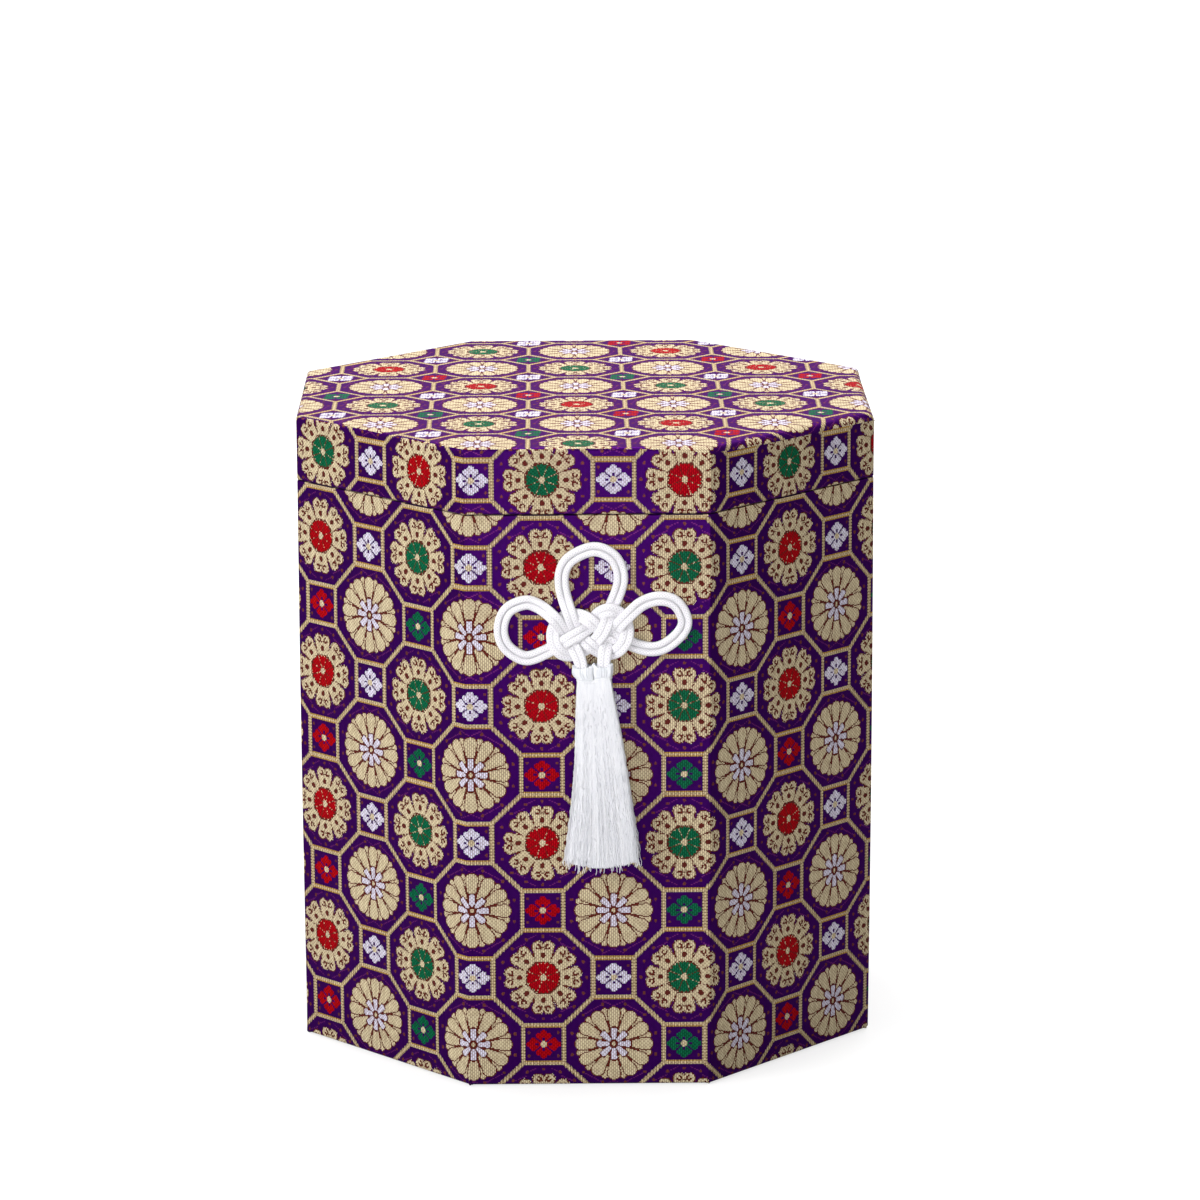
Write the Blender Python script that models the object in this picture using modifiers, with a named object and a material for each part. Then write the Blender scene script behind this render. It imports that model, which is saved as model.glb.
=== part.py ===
"""An eight-sided urn box covered in brocade, with a lift-off lid and a knotted, tasselled cord on its front.

Metres, +Z up. The origin is at the middle of the underside, and the front face, with the knot, looks to -Y.
The boards carry a cloth skin outside and a thin lining inside. The inner boards stand above the rim as a
collar, and the lid slides down over them.
"""

import math

import bmesh
import bpy
import numpy as np

# Box, over the cloth
SIDES = 8
ACROSS_FLATS = 0.240
BODY_HEIGHT = 0.2416
LID_HEIGHT = 0.0273
SEAM_GAP = 0.0004

# Sheets and boards, and the gap that touching pieces keep
GAP = 0.0003
CLOTH = 0.0008
BOARD = 0.004
INNER_BOARD = 0.0025
BASE_BOARD = 0.004
LID_TOP_BOARD = 0.004
LINING = 0.0005
FLOOR_LINING = 0.0008
WADDING = 0.0015

# How the lid seats, and how the cloth is turned
COLLAR_RISE = 0.016
COLLAR_CLEARANCE = 0.0003
CLOTH_TURN_UNDER = 0.012
LID_EDGE_RADIUS = 0.0035
LID_CLOTH_TURN_DOWN = 0.0013
LID_EDGE_STEPS = 4

# Knot: a doubled cord, drawn on a grid about its middle
CORD = 0.0028
CORD_PAIR_GAP = 0.0003
CORD_PINCH_SHARE = 0.74
KNOT_GRID = 0.001
KNOT_X = 0.002
KNOT_HEIGHT_SHARE = 0.805
KNOT_LEVEL_GAP = 0.0001
CORD_SAMPLES_BETWEEN_POINTS = 2
CORD_TURN_STEPS = 6

# Tassel: two heads side by side, each bound at the neck over a skirt of strands
HEAD_RADIUS = 0.0037
HEAD_SPACING = 0.0078
HEAD_SEGMENTS = 16
HEAD_STEPS = 6
NECK_RADIUS = 0.0027
NECK_DROP = 0.0049
BINDING_CORD = 0.0007
BINDING_RISE = 0.001
BINDING_SEGMENTS = 8
SKIRT_LENGTH = 0.074
SKIRT_TOP_RADIUS = 0.0033
SKIRT_SPREAD = 0.0143
SKIRT_DEPTH = 0.0098
SKIRT_WALL_CLEARANCE = 0.0007
LEFT_SKIRT_LEAN = 0.0
RIGHT_SKIRT_LEAN = 0.0078
SKIRT_FOLDS = 8
SKIRT_POINTS_PER_FOLD = 4
SKIRT_TOP_STEPS = 3
SKIRT_FOLD_SHARE = 0.12
# How far down the skirt each ring lies, and how much of its spread it has there
SKIRT_RING_SHARES = ((0.12, 0.17), (0.28, 0.36), (0.46, 0.54), (0.64, 0.71), (0.82, 0.87), (1.0, 1.0))

MERGE_DISTANCE = 0.00001
SMOOTH_UNDER = math.radians(40)
SIDE_NAMES = ("front", "front_right", "right", "back_right", "back", "back_left", "left", "front_left")

# Worked out from the sizes above
SIDE_TURN = 2 * math.pi / SIDES
CORNER = 1 / math.cos(SIDE_TURN / 2)

CLOTH_OUT = ACROSS_FLATS / 2
CLOTH_IN = CLOTH_OUT - CLOTH
BOARD_OUT = CLOTH_IN - GAP
BOARD_IN = BOARD_OUT - BOARD
INNER_BOARD_OUT = BOARD_IN - COLLAR_CLEARANCE
INNER_BOARD_IN = INNER_BOARD_OUT - INNER_BOARD
LINING_OUT = INNER_BOARD_IN - GAP
LINING_IN = LINING_OUT - LINING

BASE_BOARD_BOTTOM = CLOTH + GAP
WALL_BOTTOM = BASE_BOARD_BOTTOM + BASE_BOARD + GAP
WALL_TOP = BODY_HEIGHT - CLOTH - GAP
COLLAR_TOP = BODY_HEIGHT + COLLAR_RISE

LID_BOTTOM = BODY_HEIGHT + SEAM_GAP
LID_TOP = LID_BOTTOM + LID_HEIGHT
WADDING_TOP = LID_TOP - CLOTH - GAP
LID_BOARD_TOP = WADDING_TOP - WADDING - GAP
LID_BOARD_BOTTOM = LID_BOARD_TOP - LID_TOP_BOARD
LID_WALL_BOTTOM = LID_BOTTOM + CLOTH + GAP
LID_WALL_TOP = LID_BOARD_BOTTOM - GAP
LID_CLOTH_JOIN = LID_TOP - LID_EDGE_RADIUS - LID_CLOTH_TURN_DOWN

# The doubled cord's middle line, as shares of the grid: right of and above the knot's middle, then its level,
# where 0 lies on the cloth and 1 lies over one cord, and then 1 where the weave pinches the cord
LEFT_LEG_SHARES = ((-4.8, -9.9, 1.1, 1), (-6.6, -7.2, 1, 1), (-10.4, -2.6, 0, 1), (-13.2, 2, 0.8, 1))
LEFT_LOOP_SHARES = (
    (-16.4, 5.9, 1.1, 1),
    (-21.7, 10.1, 0.3, 0),
    (-26.9, 11.4, 0, 0),
    (-34.2, 8.5, 0, 0),
    (-37.1, 1.1, 0, 0),
    (-35.1, -6.4, 0, 0),
    (-27.5, -11.5, 0, 0),
    (-22.6, -11.2, 0, 0),
)
ACROSS_FROM_LEFT_SHARES = (
    (-18.1, -8.5, 0, 1),
    (-14.4, -5, 0.3, 1),
    (-10, -2.4, 1.2, 1),
    (-6.2, -0.4, 1.2, 1),
    (-3.4, 1.2, 0.8, 1),
    (-0.3, 4.1, 0, 1),
    (1.4, 7.2, 0.2, 1),
    (4.4, 9.5, 0.8, 1),
    (8.6, 10.1, 1.1, 1),
    (12, 7.8, 0.3, 1),
    (14, 5, 0, 1),
    (15.3, 1, 0.4, 1),
    (15.3, -3.6, 1, 1),
    (13, -7.8, 0.8, 1),
    (9.2, -10, 0.1, 1),
    (5, -10.3, 0, 1),
    (1.2, -8.4, 0.7, 1),
    (-1.8, -5.6, 1.1, 1),
    (-4.6, -3.1, 0.6, 1),
    (-6.6, -0.5, 0, 1),
    (-8.4, 3.4, 0.6, 1),
    (-9.8, 8.2, 1, 1),
)
TOP_LOOP_SHARES = (
    (-11.7, 13.4, 0.3, 0),
    (-12.6, 18.8, 0, 0),
    (-12.1, 24.5, 0, 0),
    (-8.7, 29.5, 0, 0),
    (0.6, 33.3, 0, 0),
    (8.2, 29.8, 0, 0),
    (11, 22.3, 0, 0),
    (10.6, 15.7, 0, 0),
)
DOWN_FROM_TOP_SHARES = (
    (8.9, 9.9, 0, 1),
    (7.1, 4.8, 0.5, 1),
    (4.4, 0.4, 1.1, 1),
    (1.7, -2.4, 0.8, 1),
    (-1.6, -5.8, 0, 1),
    (-5.2, -9.2, 0, 1),
    (-9.4, -11.6, 0.1, 0),
    (-13.6, -11.2, 0.7, 1),
    (-17.4, -8.4, 1.1, 1),
    (-19.2, -3.6, 0.8, 1),
    (-18, 1.6, 0.1, 1),
    (-15.6, 5, 0, 1),
    (-10, 7.9, 0, 1),
    (-5.8, 7.6, 0.4, 1),
    (-2.4, 6, 0.9, 1),
    (-0.1, 4, 1.1, 1),
    (3.8, 0.3, 0.1, 1),
    (7.6, -2.4, 0, 1),
    (11.6, -4.6, 0, 1),
    (15.4, -6.1, 0, 1),
)
RIGHT_LOOP_SHARES = (
    (22.7, -8.1, 0, 0),
    (28.3, -6.8, 0, 0),
    (34.8, -1.9, 0, 0),
    (37.2, 3.5, 0, 0),
    (33.6, 10.6, 0, 0),
    (27.1, 12.7, 0, 0),
    (19.4, 10.4, 0.2, 0),
)
RIGHT_LEG_SHARES = (
    (14, 5.6, 1.1, 1),
    (10.6, 1.6, 1, 1),
    (7.6, -2.2, 1, 1),
    (5.6, -6, 1, 1),
    (4.8, -9.8, 1.1, 1),
    (3.6, -12.8, 1.1, 1),
)
KNOT_ROUTE_SHARES = (
    LEFT_LEG_SHARES
    + LEFT_LOOP_SHARES
    + ACROSS_FROM_LEFT_SHARES
    + TOP_LOOP_SHARES
    + DOWN_FROM_TOP_SHARES
    + RIGHT_LOOP_SHARES
    + RIGHT_LEG_SHARES
)

CORD_LEVEL = CORD + KNOT_LEVEL_GAP
KNOT_Z = BODY_HEIGHT * KNOT_HEIGHT_SHARE
LEG_END_Z = KNOT_Z + KNOT_ROUTE_SHARES[-1][1] * KNOT_GRID

# The heads turn about their own middles, under the legs, and each skirt about the middle of its round top
HEAD_Y = -(CLOTH_OUT + GAP + CORD / 2 + CORD_LEVEL)
HEAD_Z = LEG_END_Z - GAP - HEAD_RADIUS
NECK_BOTTOM = HEAD_Z - NECK_DROP
SKIRT_PIVOT_Z = NECK_BOTTOM - GAP - SKIRT_TOP_RADIUS


def make_finish(name, colour, roughness):
    """A plain material. The colour is linear."""
    finish = bpy.data.materials.new(name)
    finish.use_nodes = True
    shader = finish.node_tree.nodes["Principled BSDF"]
    shader.inputs["Base Color"].default_value = (*colour, 1)
    shader.inputs["Roughness"].default_value = roughness
    shader.inputs["Metallic"].default_value = 0
    finish.diffuse_color = (*colour, 1)
    return finish


def add(name, data, finish, at=(0, 0, 0), turn=0):
    """Puts a mesh or curve in the box's collection, turned about the vertical."""
    if finish.name not in data.materials:
        data.materials.append(finish)
    piece = bpy.data.objects.new(name, data)
    piece.location = at
    piece.rotation_euler.z = turn
    PIECES.objects.link(piece)
    return piece


def add_empty(name, at):
    marker = bpy.data.objects.new(name, None)
    marker.location = at
    PIECES.objects.link(marker)
    return marker


def carry(parent, children):
    """Parents the children and leaves them where they are."""
    bpy.context.view_layer.update()
    for child in children:
        child.parent = parent
        child.matrix_parent_inverse = parent.matrix_world.inverted()


def outline_mesh(name, points, closed):
    """A mesh of edges only, to be swept."""
    edges = [(i, i + 1) for i in range(len(points) - 1)]
    if closed:
        edges.append((len(points) - 1, 0))
    mesh = bpy.data.meshes.new(name)
    mesh.from_pydata(points, edges, [])
    return mesh


def sweep_round(piece, steps, smooth=True):
    screw = piece.modifiers.new("Sweep", "SCREW")
    screw.steps = steps
    screw.render_steps = steps
    screw.use_merge_vertices = True
    screw.merge_threshold = MERGE_DISTANCE
    screw.use_smooth_shade = smooth


def eight_sided(name, outline, finish, closed=True):
    """Sweeps an outline of (distance from the axis to the flat, height) pairs round the eight corners."""
    points = [(flat * CORNER, 0, height) for flat, height in outline]
    piece = add(name, outline_mesh(name, points, closed), finish, turn=SIDE_TURN / 2)
    sweep_round(piece, SIDES, smooth=False)
    return piece


def plate(name, flat, bottom, top, finish):
    """A flat eight-sided sheet. flat is its distance from the axis to a side."""
    shape = bmesh.new()
    radius = flat * CORNER
    bmesh.ops.create_cone(
        shape, cap_ends=True, segments=SIDES, radius1=radius, radius2=radius, depth=top - bottom
    )
    mesh = bpy.data.meshes.new(name)
    shape.to_mesh(mesh)
    shape.free()
    return add(name, mesh, finish, at=(0, 0, (bottom + top) / 2), turn=SIDE_TURN / 2)


def mitred_boards(stem, outer, thickness, bottom, top, finish):
    """Eight boards in a ring, mitred where they meet."""
    half_angle = SIDE_TURN / 2
    half_joint = GAP / 2 / math.cos(half_angle)
    inner = outer - thickness
    outer_half = outer * math.tan(half_angle) - half_joint
    inner_half = inner * math.tan(half_angle) - half_joint
    corners = ((-outer_half, -outer), (outer_half, -outer), (inner_half, -inner), (-inner_half, -inner))
    board = bpy.data.curves.new(stem, "CURVE")
    board.dimensions = "2D"
    board.fill_mode = "BOTH"
    board.extrude = (top - bottom) / 2
    edge = board.splines.new("POLY")
    edge.points.add(len(corners) - 1)
    for point, (x, y) in zip(edge.points, corners):
        point.co = (x, y, 0, 1)
    edge.use_cyclic_u = True
    middle = (bottom + top) / 2
    return [
        add(f"{stem}_{side}", board, finish, at=(0, 0, middle), turn=place * SIDE_TURN)
        for place, side in enumerate(SIDE_NAMES)
    ]


def edge_arc(radius, first, last):
    """Points round the lid's rounded edge, from one angle above the level to another."""
    across = CLOTH_OUT - LID_EDGE_RADIUS
    height = LID_TOP - LID_EDGE_RADIUS
    angles = np.linspace(first, last, LID_EDGE_STEPS + 1)
    return [(across + radius * math.cos(a), height + radius * math.sin(a)) for a in angles]


def plate_under_edge(name, bottom, top, finish):
    """An eight-sided plate whose rim follows the inside of the lid cloth's rounded edge."""
    radius = LID_EDGE_RADIUS - CLOTH - GAP
    height = LID_TOP - LID_EDGE_RADIUS
    upper = math.asin(min(1, (top - height) / radius))
    lower = math.asin(max(0, (bottom - height) / radius))
    rim = edge_arc(radius, upper, lower)
    outline = [(0, top), *rim]
    if bottom < height:
        outline.append((rim[-1][0], bottom))
    outline.append((0, bottom))
    return eight_sided(name, outline, finish, closed=False)


def make_body():
    body_outline = [
        (BOARD_IN, BODY_HEIGHT),
        (CLOTH_OUT, BODY_HEIGHT),
        (CLOTH_OUT, 0),
        (CLOTH_OUT - CLOTH_TURN_UNDER, 0),
        (CLOTH_OUT - CLOTH_TURN_UNDER, CLOTH),
        (CLOTH_IN, CLOTH),
        (CLOTH_IN, BODY_HEIGHT - CLOTH),
        (BOARD_IN, BODY_HEIGHT - CLOTH),
    ]
    eight_sided("body_brocade", body_outline, BROCADE)
    plate("base_paper", CLOTH_OUT - CLOTH_TURN_UNDER - GAP, 0, CLOTH, PAPER)
    plate("base_board", BOARD_OUT, BASE_BOARD_BOTTOM, BASE_BOARD_BOTTOM + BASE_BOARD, WOOD)
    mitred_boards("side_board", BOARD_OUT, BOARD, WALL_BOTTOM, WALL_TOP, WOOD)
    mitred_boards("collar_board", INNER_BOARD_OUT, INNER_BOARD, WALL_BOTTOM, COLLAR_TOP, PALE_WOOD)
    lining_outline = [
        (LINING_OUT, COLLAR_TOP),
        (LINING_OUT, WALL_BOTTOM),
        (LINING_IN, WALL_BOTTOM),
        (LINING_IN, COLLAR_TOP),
    ]
    eight_sided("wall_lining", lining_outline, PAPER)
    plate("floor_lining", LINING_IN - GAP, WALL_BOTTOM, WALL_BOTTOM + FLOOR_LINING, PAPER)


def make_lid():
    band_outline = [
        (CLOTH_OUT, LID_CLOTH_JOIN - GAP),
        (CLOTH_OUT, LID_BOTTOM),
        (BOARD_IN, LID_BOTTOM),
        (BOARD_IN, LID_BOTTOM + CLOTH),
        (CLOTH_IN, LID_BOTTOM + CLOTH),
        (CLOTH_IN, LID_CLOTH_JOIN - GAP),
    ]
    top_outline = [
        (0, LID_TOP),
        *edge_arc(LID_EDGE_RADIUS, math.pi / 2, 0),
        (CLOTH_OUT, LID_CLOTH_JOIN),
        (CLOTH_IN, LID_CLOTH_JOIN),
        *edge_arc(LID_EDGE_RADIUS - CLOTH, 0, math.pi / 2),
        (0, LID_TOP - CLOTH),
    ]
    pieces = [
        eight_sided("lid_band_brocade", band_outline, BROCADE),
        eight_sided("lid_top_brocade", top_outline, BROCADE, closed=False),
        plate_under_edge("lid_wadding", WADDING_TOP - WADDING, WADDING_TOP, WHITE_SILK),
        plate_under_edge("lid_top_board", LID_BOARD_BOTTOM, LID_BOARD_TOP, WOOD),
        plate("lid_lining", BOARD_IN - GAP, LID_WALL_TOP - LINING, LID_WALL_TOP, PAPER),
        *mitred_boards("lid_side_board", BOARD_OUT, BOARD, LID_WALL_BOTTOM, LID_WALL_TOP, WOOD),
    ]
    carry(add_empty("lid_lift", (0, 0, LID_BOTTOM)), pieces)


def smooth_route():
    """The knot's middle line as rows of x, z, level and pinch, read from a curve through its points."""
    route = np.array(KNOT_ROUTE_SHARES, float)
    padded = np.vstack([2 * route[0] - route[1], route, 2 * route[-1] - route[-2]])
    rows = []
    for before, start, end, after in zip(padded, padded[1:], padded[2:], padded[3:]):
        for t in np.arange(CORD_SAMPLES_BETWEEN_POINTS) / CORD_SAMPLES_BETWEEN_POINTS:
            bend = 2 * before - 5 * start + 4 * end - after
            twist = 3 * start - 3 * end + after - before
            rows.append((2 * start + (end - before) * t + bend * t**2 + twist * t**3) / 2)
    rows.append(route[-1])
    return np.array(rows)


def cord_points():
    """Centre points and widths of one cord that follows the route, turns back and returns beside itself."""
    rows = smooth_route()
    x = KNOT_X + rows[:, 0] * KNOT_GRID
    z = KNOT_Z + rows[:, 1] * KNOT_GRID
    level = np.clip(rows[:, 2], 0, None)
    width = 1 - (1 - CORD_PINCH_SHARE) * np.clip(rows[:, 3], 0, 1)
    y = -(CLOTH_OUT + GAP + CORD / 2 + level * CORD_LEVEL)
    along = np.column_stack([np.gradient(x), np.gradient(z)])
    along /= np.linalg.norm(along, axis=1, keepdims=True)
    beside = np.column_stack([-along[:, 1], along[:, 0]])
    half_pair = ((CORD * width + CORD_PAIR_GAP) / 2)[:, None]
    middle = np.column_stack([x, z])
    one = middle + beside * half_pair
    other = middle - beside * half_pair
    angles = np.linspace(0, math.pi, CORD_TURN_STEPS + 1)[1:-1, None]
    turn = middle[0] + half_pair[0] * (np.cos(angles) * beside[0] - np.sin(angles) * along[0])
    flat = np.vstack([one[::-1], turn, other])
    depth = np.concatenate([y[::-1], np.full(len(turn), y[0]), y])
    widths = np.concatenate([width[::-1], np.full(len(turn), width[0]), width])
    return np.column_stack([flat[:, 0], depth, flat[:, 1]]), widths


def make_knot():
    points, widths = cord_points()
    cord = bpy.data.curves.new("knot_cord", "CURVE")
    cord.dimensions = "3D"
    cord.bevel_depth = CORD / 2
    cord.bevel_resolution = 2
    cord.use_fill_caps = True
    strand = cord.splines.new("POLY")
    strand.points.add(len(points) - 1)
    for place, at, width in zip(strand.points, points, widths):
        place.co = (*at, 1)
        place.radius = width
    add("knot_cord", cord, WHITE_CORD)


def turned(name, outline, steps, finish, at):
    """Sweeps an outline of (radius, height) pairs that starts and ends on the axis."""
    points = [(radius, 0, height) for radius, height in outline]
    piece = add(name, outline_mesh(name, points, closed=False), finish, at=at)
    sweep_round(piece, steps)
    return piece


def head_outline():
    """A ball with a straight neck below it, down its outer side from the top."""
    lowest = -math.acos(NECK_RADIUS / HEAD_RADIUS)
    angles = np.linspace(math.pi / 2, lowest, HEAD_STEPS + 1)[1:]
    ball = [(HEAD_RADIUS * math.cos(a), HEAD_RADIUS * math.sin(a)) for a in angles]
    return [(0, HEAD_RADIUS), *ball, (NECK_RADIUS, -NECK_DROP), (0, -NECK_DROP)]


def binding_mesh(name):
    """A ring of thread that stands clear of the neck."""
    half = BINDING_CORD / 2
    across = NECK_RADIUS + GAP + half
    angles = np.arange(BINDING_SEGMENTS) * 2 * math.pi / BINDING_SEGMENTS
    points = [(across + half * math.cos(a), 0, -half * math.sin(a)) for a in angles]
    return outline_mesh(name, points, closed=True)


def skirt_rings(head_x, lean):
    """Each ring's middle (x, y), height, half width, half depth and share of the folds, from the top down."""
    back = CLOTH_OUT + SKIRT_WALL_CLEARANCE
    for a in np.linspace(math.pi / 2, 0, SKIRT_TOP_STEPS + 1)[1:]:
        radius = SKIRT_TOP_RADIUS * math.cos(a)
        yield head_x, HEAD_Y, SKIRT_PIVOT_Z + SKIRT_TOP_RADIUS * math.sin(a), radius, radius, 0
    for down, spread in SKIRT_RING_SHARES:
        half_width = SKIRT_TOP_RADIUS + (SKIRT_SPREAD / 2 - SKIRT_TOP_RADIUS) * spread
        half_depth = SKIRT_TOP_RADIUS + (SKIRT_DEPTH / 2 - SKIRT_TOP_RADIUS) * spread
        y = HEAD_Y + (-(back + SKIRT_DEPTH / 2) - HEAD_Y) * spread
        yield head_x + lean * spread, y, SKIRT_PIVOT_Z - down * SKIRT_LENGTH, half_width, half_depth, spread


def make_skirt(name, head_x, lean):
    """Strands hanging in folds: a round top that turns in the neck, flaring to the cut ends."""
    count = SKIRT_FOLDS * SKIRT_POINTS_PER_FOLD
    angles = np.arange(count) * 2 * math.pi / count
    pivot = np.array([head_x, HEAD_Y, SKIRT_PIVOT_Z])
    shape = bmesh.new()
    last = None
    for x, y, z, half_width, half_depth, fold in skirt_rings(head_x, lean):
        draw_in = 1 - SKIRT_FOLD_SHARE * fold * (1 - np.cos(SKIRT_FOLDS * angles)) / 2
        across = x + half_width * draw_in * np.cos(angles)
        depth = y + half_depth * draw_in * np.sin(angles)
        ring = [shape.verts.new(np.array([a, d, z]) - pivot) for a, d in zip(across, depth)]
        if last is None:
            shape.faces.new(ring)
        else:
            for i in range(count):
                j = (i + 1) % count
                shape.faces.new((last[i], ring[i], ring[j], last[j]))
        last = ring
    shape.faces.new(last[::-1])
    bmesh.ops.recalc_face_normals(shape, faces=shape.faces)
    mesh = bpy.data.meshes.new(name)
    shape.to_mesh(mesh)
    shape.free()
    mesh.shade_smooth()
    mesh.set_sharp_from_angle(angle=SMOOTH_UNDER)
    return add(name, mesh, WHITE_SILK, at=pivot)


def make_tassel():
    middle_x = KNOT_X + (KNOT_ROUTE_SHARES[0][0] + KNOT_ROUTE_SHARES[-1][0]) / 2 * KNOT_GRID
    lift = add_empty("tassel_lift", (middle_x, HEAD_Y, HEAD_Z))
    for side, sign, lean in (("left", -1, LEFT_SKIRT_LEAN), ("right", 1, RIGHT_SKIRT_LEAN)):
        x = middle_x + sign * HEAD_SPACING / 2
        head = turned(f"tassel_head_{side}", head_outline(), HEAD_SEGMENTS, WHITE_SILK, (x, HEAD_Y, HEAD_Z))
        name = f"tassel_binding_{side}"
        binding = add(name, binding_mesh(name), WHITE_CORD, at=(x, HEAD_Y, NECK_BOTTOM + BINDING_RISE))
        sweep_round(binding, HEAD_SEGMENTS)
        skirt = make_skirt(f"tassel_skirt_{side}", x, lean)
        carry(head, (binding, skirt))
        carry(lift, (head,))


for old in list(bpy.data.objects):
    bpy.data.objects.remove(old)

PIECES = bpy.data.collections.new("brocade_urn_box")
bpy.context.scene.collection.children.link(PIECES)

BROCADE = make_finish("brocade", (0.13, 0.07, 0.15), 0.55)
WOOD = make_finish("wood", (0.55, 0.40, 0.25), 0.7)
PALE_WOOD = make_finish("pale_wood", (0.66, 0.52, 0.36), 0.65)
PAPER = make_finish("paper", (0.80, 0.78, 0.72), 0.9)
WHITE_CORD = make_finish("white_cord", (0.82, 0.82, 0.84), 0.7)
WHITE_SILK = make_finish("white_silk", (0.84, 0.84, 0.86), 0.6)

make_body()
make_lid()
make_knot()
make_tassel()
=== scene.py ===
import math

import bpy
import numpy as np
from mathutils import Matrix, Vector


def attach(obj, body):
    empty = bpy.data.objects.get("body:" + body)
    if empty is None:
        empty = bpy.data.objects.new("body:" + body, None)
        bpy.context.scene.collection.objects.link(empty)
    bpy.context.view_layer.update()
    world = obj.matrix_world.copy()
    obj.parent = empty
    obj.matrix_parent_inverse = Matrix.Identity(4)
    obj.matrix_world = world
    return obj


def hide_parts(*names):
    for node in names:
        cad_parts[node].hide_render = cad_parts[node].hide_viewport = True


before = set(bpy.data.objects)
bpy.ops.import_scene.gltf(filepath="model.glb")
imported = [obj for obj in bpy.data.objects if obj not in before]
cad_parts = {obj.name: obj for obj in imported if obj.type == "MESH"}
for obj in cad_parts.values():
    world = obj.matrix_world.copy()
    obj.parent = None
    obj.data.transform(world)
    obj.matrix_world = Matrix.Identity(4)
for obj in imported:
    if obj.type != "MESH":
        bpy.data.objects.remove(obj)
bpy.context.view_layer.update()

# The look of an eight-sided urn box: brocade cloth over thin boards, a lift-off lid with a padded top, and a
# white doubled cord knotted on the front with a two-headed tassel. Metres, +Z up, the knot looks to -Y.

# Box, repeated from the part's source
SIDE_NAMES = ("front", "front_right", "right", "back_right", "back", "back_left", "left", "front_left")
SIDE_TURN = math.tau / 8
CLOTH_OUT = 0.12
CLOTH = 0.0008
BOARD_IN = 0.1149
GAP = 0.0003
BODY_HEIGHT = 0.2416
LID_BOTTOM = 0.2420
LID_TOP = 0.2693
CLOTH_TURN_UNDER = 0.012
WALL_BOTTOM = 0.0054
COLLAR_TOP = 0.2576
LINING = 0.0005
LINING_OUT = 0.1118
FLOOR_LINING = 0.0008
FLOOR_LINING_OUT = 0.1110
BASE_PAPER_OUT = 0.1077
LID_LINING_OUT = 0.1146
LID_WALL_TOP = 0.2621
WADDING_OUT = 0.1183
WADDING_TOP = 0.2682

# Knot and tassel, repeated from the part's source
CORD = 0.0028
CORD_PINCH_SHARE = 0.74
CORD_LEVEL = 0.0029
KNOT_GRID = 0.001
KNOT_X, KNOT_Z = 0.002, 0.194488
HEAD_Y = -0.1246
NECK_RADIUS = 0.0027

# The doubled cord's middle line: millimetres right of and above the knot's middle, its level over the cloth,
# and 1 where the weave presses the cord. It is the source's route, drawn closer in the weave, where the pairs
# lie flat against each other.
LEFT_LEG = (
    (-4.8, -16.3, 1.1, 1), (-4.9, -13.6, 1.1, 1), (-5.8, -10.6, 1.1, 1), (-7.1, -7.5, 1, 1),
    (-8.8, -4.7, 0.3, 1), (-10.6, -2.1, 0, 1), (-12, 0.4, 0.3, 1), (-14, 3.6, 0.9, 1),
)
LEFT_LOOP = (
    (-16.4, 6.3, 1.1, 1), (-19.7, 8.9, 0.4, 0.3), (-23.3, 10.8, 0, 0), (-27.2, 11.7, 0, 0),
    (-34.3, 8.6, 0, 0), (-37.2, 1.1, 0, 0), (-35.2, -6.5, 0, 0), (-28.2, -11.5, 0, 0), (-23.4, -10.9, 0, 0),
    (-20.2, -9.5, 0, 0.3),
)
ACROSS_FROM_LEFT = (
    (-16.9, -7.9, 0, 1), (-14.2, -6.4, 0.3, 1), (-11.7, -4.6, 1, 1), (-8.7, -2.6, 1.2, 1),
    (-5.3, -0.7, 1.2, 1), (-2.2, 0.9, 0.6, 1), (-0.1, 3.2, 0, 1), (2, 6.6, 0.5, 1), (4.1, 8.2, 0.9, 1),
    (6.7, 8.9, 1.1, 1), (9.6, 8.1, 0.9, 1), (12, 5.5, 0.1, 1), (13.5, 2.6, 0, 1), (14, -0.2, 0.4, 1),
    (13.8, -2.6, 1, 1), (12.6, -5.2, 1.1, 1), (10.7, -7.7, 0.9, 1), (8, -9.6, 0.2, 1), (4.7, -9.7, 0, 1),
    (1.8, -8.2, 0.4, 1), (-0.8, -6, 1, 1), (-2.9, -4.1, 0.8, 1), (-4.9, -2.1, 0, 1), (-6.7, 0.2, 0, 1),
    (-8, 3.3, 0.6, 1), (-9.1, 6.7, 1, 1),
)
TOP_LOOP = (
    (-10.2, 10, 0.7, 0.6), (-11.3, 13.4, 0.1, 0), (-12.4, 18.8, 0, 0), (-12.1, 24.5, 0, 0),
    (-8.8, 29.7, 0, 0), (0.6, 33.6, 0, 0), (8.5, 30, 0, 0), (11.5, 22.5, 0, 0), (10.5, 16.6, 0, 0),
)
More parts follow.
